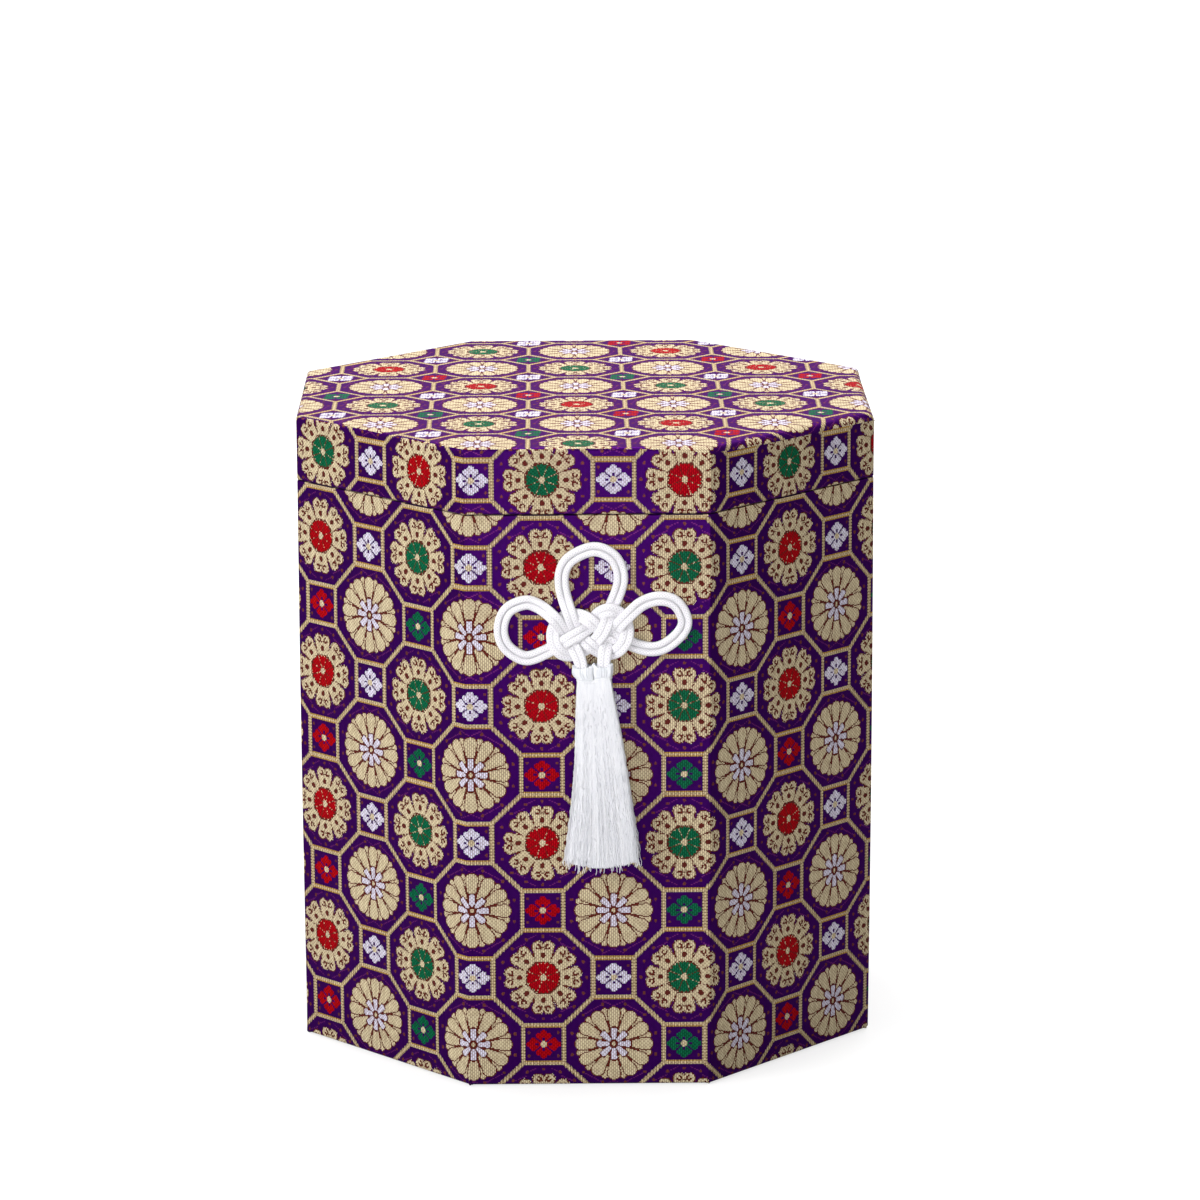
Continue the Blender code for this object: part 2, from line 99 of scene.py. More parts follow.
DOWN_FROM_TOP = (
    (9.4, 13.6, 0, 0.2), (8, 10.4, 0, 0.6), (6.9, 7.3, 0, 1), (6, 4.7, 0.6, 1), (5, 1.7, 1.2, 1),
    (3.4, -1.3, 1.2, 1), (1, -4.2, 0.7, 1), (-1.7, -7, 0, 1), (-4.6, -8.6, 0, 1), (-7.6, -9.9, 0.1, 1),
    (-10.5, -10, 0.7, 1), (-13.1, -8.8, 1, 1), (-15.1, -6.4, 1.1, 1), (-16.1, -3.4, 1, 1),
    (-16.1, -0.9, 0.5, 1), (-15.3, 1.4, 0, 1), (-13.3, 3.9, 0, 1), (-11, 5.6, 0, 1), (-8.5, 6.2, 0, 1),
    (-5.7, 6.3, 0.5, 1), (-3.2, 5.8, 1, 1), (-0.7, 4.1, 1.2, 1), (1.8, 1.7, 0.8, 1), (4.4, -0.7, 0.3, 1),
    (6.7, -1.8, 0.6, 1), (8.9, -2.8, 0.7, 1), (11.5, -4.3, 0.2, 1), (13.8, -5.3, 0, 0.7),
)
RIGHT_LOOP = (
    (16.6, -6.3, 0, 0.2), (22.5, -8.1, 0, 0), (28.3, -7.3, 0, 0), (34.9, -2.2, 0, 0), (37.4, 3.5, 0, 0),
    (33.7, 10.9, 0, 0), (27.1, 13, 0, 0), (20.3, 11.2, 0.1, 0),
)
RIGHT_LEG = (
    (16.1, 8.1, 0.8, 0.5), (13.3, 5.4, 1.1, 1), (10.5, 2.5, 0.9, 1), (8.5, -0.6, 0.1, 1), (6.9, -3.2, 0, 1),
    (5.7, -5.5, 0.1, 1), (5.1, -7.4, 0.8, 1), (4.7, -9.7, 1.1, 1), (4.4, -12.3, 1.1, 1),
    (4.3, -14.7, 1.1, 1), (4.1, -17, 1.1, 1),
)
KNOT_ROUTE = LEFT_LEG + LEFT_LOOP + ACROSS_FROM_LEFT + TOP_LOOP + DOWN_FROM_TOP + RIGHT_LOOP + RIGHT_LEG

# Camera, fitted to the box's corners
CAMERA_AT = (-0.01729, -1.96981, 0.65201)
CAMERA_RIGHT = (0.999912, -0.012847, -0.003393)
CAMERA_UP = (0.006306, 0.234054, 0.972203)
CAMERA_FORWARD = (0.011696, 0.972139, -0.234114)
LENS = 141.46


def colour(red, green, blue):
    """A colour in linear light from screen values of 0 to 255."""
    shares = (red / 255, green / 255, blue / 255)
    return tuple((c / 12.92 if c <= 0.04045 else ((c + 0.055) / 1.055) ** 2.4) for c in shares) + (1.0,)


# ---------------------------------------------------------------- formulas in shader nodes


def plug(tree, socket, value):
    """Links a term or an output to a socket, or sets a plain value on it."""
    if isinstance(value, Term):
        value = value.socket
    if isinstance(value, bpy.types.NodeSocket):
        tree.links.new(value, socket)
    else:
        socket.default_value = value


def maths(operation, *values):
    tree = next(v.tree for v in values if isinstance(v, Term))
    node = tree.nodes.new("ShaderNodeMath")
    node.operation = operation
    for socket, value in zip(node.inputs, values):
        plug(tree, socket, value)
    return Term(tree, node.outputs[0])


def formula(operation, turned=False):
    """A function that works out one operation. turned is for a plain number on a term's left."""
    if turned:
        return lambda term, number: maths(operation, number, term)
    return lambda *values: maths(operation, *values)


class Term:
    """A number that shader nodes work out, so that a pattern reads as a formula."""

    def __init__(self, tree, socket):
        self.tree, self.socket = tree, socket

    __add__, __radd__ = formula("ADD"), formula("ADD", turned=True)
    __sub__, __rsub__ = formula("SUBTRACT"), formula("SUBTRACT", turned=True)
    __mul__, __rmul__ = formula("MULTIPLY"), formula("MULTIPLY", turned=True)
    __truediv__ = formula("DIVIDE")
    __lt__, __gt__ = formula("LESS_THAN"), formula("GREATER_THAN")
    __abs__ = formula("ABSOLUTE")


floored, nearest, wrapped = formula("FLOOR"), formula("ROUND"), formula("FLOORED_MODULO")
sine, cosine, least = formula("SINE"), formula("COSINE"), formula("MINIMUM")


def most(first, *others):
    for other in others:
        first = maths("MAXIMUM", first, other)
    return first


def length(across, along):
    return maths("SQRT", across * across + along * along)


def between(value, low, high):
    return (value > low) * (value < high)


def cover(tree, under, over, mask, blend="MIX"):
    """The colour under, hidden by the colour over where the mask is 1."""
    node = tree.nodes.new("ShaderNodeMix")
    node.data_type, node.blend_type = "RGBA", blend
    for number, value in zip((0, 6, 7), (mask, under, over)):
        plug(tree, node.inputs[number], value)
    return node.outputs[2]


def tint(tree, under, over):
    """The colour under, multiplied by the colour over."""
    return cover(tree, under, over, 1.0, "MULTIPLY")


def noise(tree, vector, scale, detail=2.0, roughness=0.5, kind="3D"):
    node = tree.nodes.new("ShaderNodeTexNoise")
    node.noise_dimensions = kind
    plug(tree, node.inputs["Vector"], vector)
    plug(tree, node.inputs["Scale"], scale)
    plug(tree, node.inputs["Detail"], detail)
    plug(tree, node.inputs["Roughness"], roughness)
    return Term(tree, node.outputs[0])


def joined(tree, x, y, z=0.0):
    node = tree.nodes.new("ShaderNodeCombineXYZ")
    for socket, value in zip(node.inputs, (x, y, z)):
        plug(tree, socket, value)
    return node.outputs[0]


def parted(tree, vector):
    node = tree.nodes.new("ShaderNodeSeparateXYZ")
    plug(tree, node.inputs[0], vector)
    return [Term(tree, socket) for socket in node.outputs]


def one_in(tree, x, y):
    """A fixed random number for each whole-numbered place."""
    node = tree.nodes.new("ShaderNodeTexWhiteNoise")
    node.noise_dimensions = "2D"
    plug(tree, node.inputs["Vector"], joined(tree, x, y))
    return Term(tree, node.outputs["Value"])


def new_group(name, inputs, outputs, kind="ShaderNodeTree"):
    """An empty node group. inputs and outputs are (name, kind, default) rows."""
    group = bpy.data.node_groups.new(name, kind)
    for way, rows in (("INPUT", inputs), ("OUTPUT", outputs)):
        for label, what, default in rows:
            socket = group.interface.new_socket(name=label, in_out=way, socket_type=f"NodeSocket{what}")
            if default is not None:
                socket.default_value = default
    start = group.nodes.new("NodeGroupInput")
    end = group.nodes.new("NodeGroupOutput")
    return group, start.outputs, end.inputs


def place(tree, group, **values):
    """A group in a material, with values by its sockets' names, where _ stands for a space."""
    node = tree.nodes.new("ShaderNodeGroup")
    node.node_tree = group
    for label, value in values.items():
        plug(tree, node.inputs[label.replace("_", " ")], value)
    return node.outputs


# ---------------------------------------------------------------- brocade

PATTERN_REPEAT = 0.0573
PATTERN_START = (0.0105, 0.0192)
MOTIF_THREAD = (0.00036, 0.00048)  # a motif's outline moves in steps of this width and height
FLOAT_WIDTH, FLOAT_LENGTH = 0.0008, 0.00155
# The border's strokes darken the border's colour as painted shade between its threads, and carry the outline
# colour at its rim.
STROKE, STROKE_SHARE = 0.00125, 0.38  # the dark strokes between a border's threads
RIB, RIB_SHARE = 0.0009, 0.4  # the ground's fine slanting ribs

# Shapes of the pattern, in repeats
SQUARE = 0.1449  # half the side of a square
SQUARE_BORDER, SLANT_BORDER = 0.0173, 0.0244
RIM_SHARE = 0.34
FLOWER_REACH = (0.124, 0.106)
FLOWER_EYE = 0.023
SQUARE_DOT_AT, SQUARE_DOT = (0.105, 0.088), 0.0105
DOT_AT, DOT = 0.308, 0.0118
# The ground's fine lines: their way across and up, and their distance from the octagon's middle
CORNER_LINE, WING_LINE, ROOF_LINE = (0.5, 0.866, 0.299), (-0.42, 0.908, 0.2597), (0.45, 0.893, 0.305)
FINE_LINE, CORNER_LINE_HALF = 0.003, 0.0032
LOBE_AT = 0.229  # the middle of a petal's round end
# Long petals and their dark edge: the end's size, where the sides start, how they widen, and by how much
LONG_PETAL, LONG_EDGE = (0.0455, 0.095, 0.205, -0.001), (0.0535, 0.09, 0.232, 0.002)
TIP_AT, TIP, TIP_EDGE = 0.23, (0.044, 0.027), (0.052, 0.034)  # gold tips between the long petals
LEAF_AT, LEAF_LENGTH = 0.076, 0.043
LONG_EYE, DARK_DISC = (0.012, 0.016), 0.21
# Heart-shaped petals and their dark edge: the two lobes' size, where the sides start and how wide they are
HEART_PETAL, HEART_EDGE = (0.039, 0.124, 0.026), (0.0485, 0.1, 0.037)
HEART_APART = 0.037  # how far the lobes lie off the petal's middle line
STEM_AT, STEM = 0.168, (0.022, 0.0185)
CURL_AT, CURL, CURL_HALF = (0.231, 0.034), 0.0155, 0.007
RAY_START, RAY_END, DISC = 0.02, 0.112, 0.104

# A square's flower, in shares of its petal's reach
END_LOBE_AT, SIDE_LOBE_AT, LOBE = 0.8, (0.58, 0.26), 0.2
STALK = (0.7, 0.4)
SLIT_START, SLIT_END, SLIT_HALF = 0.26, 0.48, 0.07


def make_brocade_pattern():
    """Octagons with rosettes, and small squares with flowers between them, woven in floats of gold thread."""
    group, start, end = new_group(
        "Octagon brocade",
        [
            ("Cloth", "Vector", None),
            ("Repeat", "Float", PATTERN_REPEAT),
            ("Start Across", "Float", PATTERN_START[0]),
            ("Start Up", "Float", PATTERN_START[1]),
            ("Ground", "Color", (0.1, 0.0, 0.2, 1)),
            ("Fine Line", "Color", (0.3, 0.1, 0.2, 1)),
            ("Dot", "Color", (0.4, 0.1, 0.1, 1)),
            ("Outline", "Color", (0.1, 0.02, 0.01, 1)),
            ("Gold", "Color", (0.6, 0.5, 0.2, 1)),
            ("Border", "Color", (0.7, 0.5, 0.3, 1)),
            ("Border Edge", "Color", (0.7, 0.4, 0.1, 1)),
            ("White", "Color", (0.6, 0.6, 0.7, 1)),
            ("Red", "Color", (0.4, 0.0, 0.0, 1)),
            ("Green", "Color", (0.0, 0.2, 0.1, 1)),
        ],
        [("Color", "Color", None), ("Raised", "Float", None), ("Weave", "Float", None)],
    )
    across, up, _ = parted(group, start["Cloth"])

    # The floats: short upright stitches, each second column shifted by half a stitch
    count = across / FLOAT_WIDTH
    column = floored(count)
    count = count - column - 0.5
    rank = up / FLOAT_LENGTH + wrapped(column, 2.0) * 0.5
    row = floored(rank)
    rank = rank - row - 0.5
    weave = (1.0 - count * count * 4.0) * (1.0 - rank * rank * 3.0)
    grain = one_in(group, column, row)

    # Place in the repeat, stepped by the threads, then by the octagon or square that it falls in
    repeat = Term(group, start["Repeat"])
    x, y = floored(across / MOTIF_THREAD[0]), floored(up / MOTIF_THREAD[1])
    speckle = one_in(group, x, y)
    x = ((x + 0.5) * MOTIF_THREAD[0] - Term(group, start["Start Across"])) / repeat
    y = ((y + 0.5) * MOTIF_THREAD[1] - Term(group, start["Start Up"])) / repeat
    one = y + x
    other = y - x
    one_cell, other_cell = nearest(one), nearest(other)
    one, other = one - one_cell, other - other_cell
    x, y = (one - other) * 0.5, (one + other) * 0.5
    file = one_cell - other_cell
    second = wrapped(one_cell + other_cell, 2.0)
    slant = 0.5 - most(abs(one), abs(other))
    ax, ay = abs(x), abs(y)
    sideways = ax > ay
    fx, fy = abs(ax - sideways * 0.5), abs(ay - (1.0 - sideways) * 0.5)
    square = most(fx, fy)
    in_square = square < SQUARE
    file = file + in_square * sideways * maths("SIGN", x)
    spot = cover(group, start["Red"], start["Green"], wrapped(file, 4.0) < 2.0)
    spot = cover(group, start["White"], spot, wrapped(file, 2.0))
    off_square = abs(square - SQUARE)
    border = most(1.0 - off_square / SQUARE_BORDER, (1.0 - slant / SLANT_BORDER) * (1.0 - in_square))
    at_square = off_square < SQUARE_BORDER
    upright = at_square * (fx > fy)
    level = (1.0 - upright) * at_square
    stroke = wrapped((across + (up - across) * upright) / STROKE, 1.0) < STROKE_SHARE

    # Flower of four petals in each square, each with an end lobe, two side lobes, a stalk and a slit
    px, py = fx / FLOWER_REACH[0], fy / FLOWER_REACH[1]
    out, off = most(px, py), least(px, py)
    end_lobe = length(out - END_LOBE_AT, off) < LOBE
    side_lobe = length(out - SIDE_LOBE_AT[0], off - SIDE_LOBE_AT[1]) < LOBE
    slit = between(out, SLIT_START, SLIT_END) * (off < SLIT_HALF)
    flower = most(end_lobe, side_lobe, (out < STALK[0]) * (off < STALK[1]))
    flower = flower * (off < out - SLIT_HALF) * (1.0 - slit)
    eye = length(fx, fy) < FLOWER_EYE
    spots = in_square * flower * (1.0 - eye)
    golds = in_square * eye
    dots = in_square * (length(fx - SQUARE_DOT_AT[0], fy - SQUARE_DOT_AT[1]) < SQUARE_DOT)

    # Rosettes: folded to one petal, of twelve in the first kind and eight in the second
    octagon = 1.0 - in_square
    r = length(x, y)
    angle = maths("ARCTAN2", y, x)
    step = second * (math.pi / 12) + math.pi / 6
    turn = angle - nearest(angle / step) * step
    along, aside = r * cosine(turn), abs(r * sine(turn))
    half = step * 0.5 - abs(turn)
    along_gap, aside_gap = r * cosine(half), r * sine(half)
    first = octagon * (1.0 - second)
    second = octagon * second

    # Dots and fine lines on the ground round each rosette
    gap_dot = length(along_gap - DOT_AT, aside_gap) < DOT
    petal_dot = length(along - DOT_AT, aside) < DOT
    dots = most(dots, octagon * gap_dot, second * petal_dot)
    corner = abs(ax * CORNER_LINE[0] + ay * CORNER_LINE[1] - CORNER_LINE[2]) < CORNER_LINE_HALF
    corner = corner * (abs(ax * CORNER_LINE[1] - ay * CORNER_LINE[0]) < 0.08)
    wing = abs(ax * WING_LINE[0] + ay * WING_LINE[1] - WING_LINE[2]) < FINE_LINE
    step_down = (ax > 0.12) * 0.02
    roof = abs(ax * ROOF_LINE[0] + ay * ROOF_LINE[1] - (ROOF_LINE[2] - step_down)) < FINE_LINE
    lines = most(first * most(corner, wing * (ax < 0.08)), second * roof * between(ax, 0.045, 0.21))

    # First rosette: twelve long petals, with gold tips between them and eight leaves in its middle
    def long_petal(lobe_size, inner_end, taper, wider):
        sides = between(along, inner_end, LOBE_AT) * (aside < along * taper + wider)
        return most(length(along - LOBE_AT, aside) < lobe_size, sides)

    leaf_turn = angle - nearest(angle / (math.pi / 4)) * (math.pi / 4)
    leaf_along, leaf_aside = r * cosine(leaf_turn), r * sine(leaf_turn)
    leaf_long, leaf_wide = (leaf_along - LEAF_AT) / LEAF_LENGTH, leaf_aside / (leaf_along * 0.13 + 0.0095)
    leaf = length(leaf_long * leaf_long, leaf_wide * leaf_wide)
    petal, edge = long_petal(*LONG_PETAL), long_petal(*LONG_EDGE)
    tip, tip_edge = (length((along_gap - TIP_AT) / a, aside_gap / b) < 1.0 for a, b in (TIP, TIP_EDGE))
    eye = length(x / LONG_EYE[0], y / LONG_EYE[1]) < 1.0
    outlines = first * most(edge, r < DARK_DISC, tip_edge)
    gold = most(tip * (1.0 - edge), petal * (leaf > 1.6), eye)
    golds = most(golds, first * gold)
    spots = most(spots, first * (leaf < 1.0) * (1.0 - eye))

    # Second rosette: eight heart-shaped petals, each with a stem and two curls, round a rayed disc
    def heart_petal(lobe_size, inner_end, wide):
        sides = between(along, inner_end, LOBE_AT) * (aside - along * 0.2 < wide)
        return most(length(along - LOBE_AT, aside - HEART_APART) < lobe_size, sides)

    petal, edge = heart_petal(*HEART_PETAL), heart_petal(*HEART_EDGE)
    stem = length((along - STEM_AT) / STEM[0], aside / STEM[1]) < 1.0
    fork = abs(length(along - 0.21, aside) - 0.013) < 0.0035 * (along > 0.205)
    curl = abs(length(along - CURL_AT[0], aside - CURL_AT[1]) - CURL) < CURL_HALF
    curl = curl * (1.0 - (aside > 0.039) * (along > 0.228))
    eye = length(x, y * 0.85) < 0.021
    ray = (aside_gap < FINE_LINE) * between(r, RAY_START, RAY_END)
    outlines = most(outlines, second * most(edge, ray))
    gold = most(petal, edge * (speckle > 0.82)) * (1.0 - most(stem, fork, curl))
    golds = most(golds, second * most(gold, eye, ray * (speckle > 0.78)))
    disc = r < DISC + abs(cosine(turn * 12.0)) * 0.012
    spots = most(spots, second * disc * (1.0 - eye) * (1.0 - ray))

    # Colours, from the ground up
    borders = border > 0.0
    dye = start["Ground"]
    for label, mask in (("Fine Line", lines), ("Dot", dots), ("Outline", outlines), ("Gold", golds)):
        dye = cover(group, dye, start[label], mask)
    dye = cover(group, dye, spot, spots)
    dye = cover(group, dye, start["Border"], borders)
    rim = between(border, 0.0, RIM_SHARE)
    dye = cover(group, dye, start["Border Edge"], rim * level)
    dye = cover(group, dye, start["Outline"], rim * (1.0 - level) * (stroke * 0.5 + 0.35))
    raised = most(golds, spots, borders, outlines * 0.5, dots * 0.5)

    # Light on the threads, before the bump
    # Painted shade: the gaps between floats, a border's strokes and the ground's ribs are darkened in the
    # colour, towards the shadow tint.
    lit = (0.1 + weave * 1.05) * (0.78 + grain * 0.42) * (1.0 - borders * stroke * 0.55)
    plain = 0.84 + grain * 0.2 - (wrapped((across + up) / RIB, 1.0) < RIB_SHARE) * 0.12
    light = plain + (lit - plain) * raised
    shadow = tint(group, dye, (0.2, 0.12, 0.08, 1))
    plug(group, end["Color"], cover(group, shadow, dye, light))
    plug(group, end["Raised"], raised)
    plug(group, end["Weave"], weave * (0.7 + grain * 0.3))
    return group


def new_material(name):
    material = bpy.data.materials.new(name)
    material.use_nodes = True
    tree = material.node_tree
    return material, tree, tree.nodes["Principled BSDF"]


def own_map(tree, name):
    node = tree.nodes.new("ShaderNodeUVMap")
    node.uv_map = name
    return node.outputs[0]


def object_coordinates(tree):
    return tree.nodes.new("ShaderNodeTexCoord").outputs["Object"]


def bumped(tree, finish, height, strength, distance):
    node = tree.nodes.new("ShaderNodeBump")
    node.inputs["Strength"].default_value = strength
    node.inputs["Distance"].default_value = distance
    plug(tree, node.inputs["Height"], height)
    tree.links.new(node.outputs[0], finish.inputs["Normal"])


def make_brocade():
    material, tree, finish = new_material("brocade")
    cloth = own_map(tree, "Cloth")
    woven = place(
        tree,
        make_brocade_pattern(),
        Cloth=cloth,
        Ground=colour(48, 6, 78),
        Fine_Line=colour(96, 36, 96),
        Dot=colour(106, 56, 46),
        Outline=colour(90, 36, 28),
        Gold=colour(207, 194, 160),
        Border=colour(204, 188, 148),
        Border_Edge=colour(188, 146, 62),
        White=colour(214, 212, 230),
        Red=colour(166, 10, 16),
        Green=colour(10, 97, 64),
    )
    raised = Term(tree, woven["Raised"])
    faded = 0.3 + noise(tree, cloth, 30.0, 3.0, kind="2D")
    dyed = cover(tree, tint(tree, woven["Color"], (0.86, 0.86, 0.9, 1)), woven["Color"], faded)
    plug(tree, finish.inputs["Base Color"], dyed)
    plug(tree, finish.inputs["Metallic"], 0.5 - raised * 0.5)
    plug(tree, finish.inputs["Roughness"], 0.38 + raised * 0.14)
    finish.inputs["Specular IOR Level"].default_value = 0.03
    finish.inputs["Specular Tint"].default_value = (0.95, 0.03, 1.0, 1)
    bumped(tree, finish, woven["Weave"], 0.25, 0.00012)
    return material


# ---------------------------------------------------------------- wood, paper, cord and silk


def make_wood_grain():
    """Straight grain along the vector's third part, with slow bands and fine pores."""
    group, start, end = new_group(
        "Straight wood grain",
        [
            ("Vector", "Vector", None),
            ("Light", "Color", (0.6, 0.45, 0.3, 1)),
            ("Dark", "Color", (0.4, 0.28, 0.16, 1)),
            ("Band Width", "Float", 0.006),
        ],
        [("Color", "Color", None), ("Height", "Float", None), ("Gloss Mask", "Float", None)],
    )
    x, y, z = parted(group, start["Vector"])
    wander = noise(group, joined(group, x, y, z * 0.08), 45.0, 3.0)
    bands = sine((x + y * 0.6 + wander * 0.012) / Term(group, start["Band Width"]) * math.tau)
    pores = noise(group, joined(group, x, y, z * 0.03), 2600.0, 2.0, 0.6)
    blotch = noise(group, joined(group, x, y, z * 0.3), 18.0, 2.0)
    share = 0.5 + bands * 0.22 + (pores - 0.5) * 0.9 + (blotch - 0.5) * 0.5
    plug(group, end["Color"], cover(group, start["Light"], start["Dark"], share))
    plug(group, end["Height"], pores + bands * 0.1)
    plug(group, end["Gloss Mask"], pores)
    return group


def make_wood(name, light, dark, band, flat=False):
    """Bare wood. flat lays the grain along the floor instead of upright."""
    material, tree, finish = new_material(name)
    turned = tree.nodes.new("ShaderNodeMapping")
    if flat:
        turned.inputs["Rotation"].default_value = (0, math.pi / 2, 0)
    tree.links.new(object_coordinates(tree), turned.inputs["Vector"])
    grain = place(tree, WOOD_GRAIN, Vector=turned.outputs[0], Light=light, Dark=dark, Band_Width=band)
    plug(tree, finish.inputs["Base Color"], grain["Color"])
    plug(tree, finish.inputs["Roughness"], 0.5 + Term(tree, grain["Gloss Mask"]) * 0.3)
    bumped(tree, finish, grain["Height"], 0.3, 0.0001)
    return material


def make_fibre_felt():
    """Fibres lying every way, as in paper or wadding."""
    group, start, end = new_group(
        "Laid fibres",
        [
            ("Vector", "Vector", None),
            ("Fibre Scale", "Float", 900.0),
            ("Pale", "Color", (0.9, 0.9, 0.9, 1)),
            ("Deep", "Color", (0.7, 0.7, 0.7, 1)),
        ],
        [("Color", "Color", None), ("Height", "Float", None)],
    )
    scale = Term(group, start["Fibre Scale"])
    x, y, z = parted(group, start["Vector"])
    one = noise(group, joined(group, x, y * 0.15, z * 0.4), scale, 2.0)
    other = noise(group, joined(group, x * 0.15, y, z), scale, 2.0)
    cloud = noise(group, start["Vector"], scale * 0.03, 3.0)
    share = (one - 0.5) * 0.9 + (other - 0.5) * 0.9 + (cloud - 0.5) * 0.8 + 0.45
    plug(group, end["Color"], cover(group, start["Pale"], start["Deep"], share))
    plug(group, end["Height"], most(one, other))
    return group


def make_fibrous(name, pale, deep, scale, roughness, depth):
    material, tree, finish = new_material(name)
    felt = place(tree, FIBRE_FELT, Vector=object_coordinates(tree), Fibre_Scale=scale, Pale=pale, Deep=deep)
    plug(tree, finish.inputs["Base Color"], felt["Color"])
    plug(tree, finish.inputs["Roughness"], roughness + Term(tree, felt["Height"]) * 0.15)
    bumped(tree, finish, felt["Height"], 0.5, depth)
    return material


BRAID_STRANDS_ROUND = 8
BRAID_PITCH = 0.0013


def make_braid():
    """Strands that cross both ways round a cord. The map has turns round the cord and metres along it."""
    group, start, end = new_group(
        "Crossed braid",
        [
            ("Around", "Float", 0.0),
            ("Along", "Float", 0.0),
            ("Strands", "Float", 6.0),
            ("Pitch", "Float", 0.002),
        ],
        [("Valley", "Float", None), ("Thread", "Float", None)],
    )
    around = Term(group, start["Around"]) * Term(group, start["Strands"]) * math.tau
    along = Term(group, start["Along"]) / Term(group, start["Pitch"]) * math.tau
    right, left = cosine(around + along), cosine(around - along)
    plug(group, end["Valley"], 1.0 - most(right, left) * 0.5 - 0.5)
    rising = sine(around * 5.0 + along * 3.0) * (right > left)
    falling = sine(around * 5.0 - along * 3.0) * (left > right)
    plug(group, end["Thread"], rising + falling)
    return group


def make_white_cord():
    material, tree, finish = new_material("white_braided_cord")
    around, along, _ = parted(tree, own_map(tree, "Braid"))
    braid = place(
        tree, BRAID, Around=around, Along=along, Strands=float(BRAID_STRANDS_ROUND), Pitch=BRAID_PITCH
    )
    valley, thread = Term(tree, braid["Valley"]), Term(tree, braid["Thread"])
    # Painted shade: the braid's valleys between strands are darkened to a lavender grey in the colour.
    dyed = cover(tree, colour(240, 239, 242), colour(192, 186, 199), valley * 0.8 + thread * 0.14)
    plug(tree, finish.inputs["Base Color"], dyed)
    plug(tree, finish.inputs["Roughness"], 0.5 + valley * 0.2)
    finish.inputs["Sheen Weight"].default_value = 0.15
    bumped(tree, finish, thread * 0.5 - valley, 0.5, 0.00012)
    return material


def make_white_silk(name, pale, deep, along_scale):
    """Loose silky strands, each a little lighter or darker, with streaks along them."""
    material, tree, finish = new_material(name)
    x, y, z = parted(tree, object_coordinates(tree))
    streak = noise(tree, joined(tree, x, y, z * along_scale), 1400.0, 2.0)
    share = tree.nodes.new("ShaderNodeAttribute")
    share.attribute_name = "strand_shade"
    own = Term(tree, share.outputs["Fac"])
    dyed = cover(tree, pale, deep, (streak - 0.35) * 0.8 + own * 0.5)
    plug(tree, finish.inputs["Base Color"], dyed)
    plug(tree, finish.inputs["Roughness"], 0.38 + streak * 0.2)
    finish.inputs["Sheen Weight"].default_value = 0.1
    bumped(tree, finish, streak, 0.25, 0.0001)
    return material


WOOD_GRAIN = make_wood_grain()
FIBRE_FELT = make_fibre_felt()
BRAID = make_braid()
BROCADE = make_brocade()
UPRIGHT_WOOD = make_wood("side_board_wood", colour(214, 190, 152), colour(176, 144, 104), 0.0075)
LEVEL_WOOD = make_wood("plate_wood", colour(212, 188, 150), colour(172, 140, 100), 0.0090, flat=True)
COLLAR_WOOD = make_wood("collar_wood", colour(226, 206, 172), colour(194, 166, 124), 0.0055)
LINING_PAPER = make_fibrous("lining_paper", colour(238, 236, 228), colour(214, 210, 198), 900.0, 0.7, 0.00006)
WADDING = make_fibrous("wadding", colour(244, 243, 240), colour(214, 212, 206), 420.0, 0.8, 0.0004)
WHITE_CORD = make_white_cord()
SILK = make_white_silk("tassel_silk", colour(240, 240, 243), colour(204, 205, 213), 0.07)
HEAD_SILK = make_white_silk("tassel_head_silk", colour(238, 239, 242), colour(208, 212, 221), 0.08)

# ---------------------------------------------------------------- cloth on the box

ARC_STEPS = 4
FLAT_STEPS = 6
COLUMNS = 2 * ARC_STEPS + FLAT_STEPS
ROLL_STEPS = 5
WALL_CORNER = 0.0014
LEAST_CORNER = 0.0003
FIRST_SIDE = -3  # the cloth's join is at the back, left of the back side
SEAM_ROUND = 0.0006
TINY = 1e-15


def side_columns(flat, corner):
    """One side of a rounded octagon, between the middles of its corners: across, out, the normal's turn."""
    straight = (flat - corner) * math.tan(SIDE_TURN / 2)
    turns = np.linspace(-SIDE_TURN / 2, 0, ARC_STEPS + 1)
    left = [(-straight + corner * math.sin(t), flat - corner + corner * math.cos(t), t) for t in turns]
    middle = [(x, flat, 0.0) for x in np.linspace(-straight, straight, FLAT_STEPS + 1)[1:-1]]
    right = [(-x, out, -t) for x, out, t in left[::-1]]
    return np.array(left + middle + right)


def run_along(points):
    """Distance of each row of points from the first row, for a line or for each column of a grid."""
    steps = np.linalg.norm(np.diff(points, axis=0), axis=-1)
    return np.concatenate([np.zeros((1, *steps.shape[1:])), np.cumsum(steps, axis=0)])


ALONG = run_along(side_columns(CLOTH_OUT, WALL_CORNER)[:, :2])
SIDE_LENGTH = ALONG[-1]


def ring(flat, height, corner):
    """Points round the box at one height, without the last column of each side, and their outward ways."""
    columns = side_columns(flat, corner)[:-1]
    points, outward = [], []
    for side in range(FIRST_SIDE, FIRST_SIDE + 8):
        turn = side * SIDE_TURN
        c, s = math.cos(turn), math.sin(turn)
        x, y = columns[:, 0], -columns[:, 1]
        points.append(np.column_stack([c * x - s * y, s * x + c * y, np.full(len(x), height)]))
        way = turn - math.pi / 2 + columns[:, 2]
        outward.append(np.column_stack([np.cos(way), np.sin(way)]))
    return np.vstack(points), np.vstack(outward)


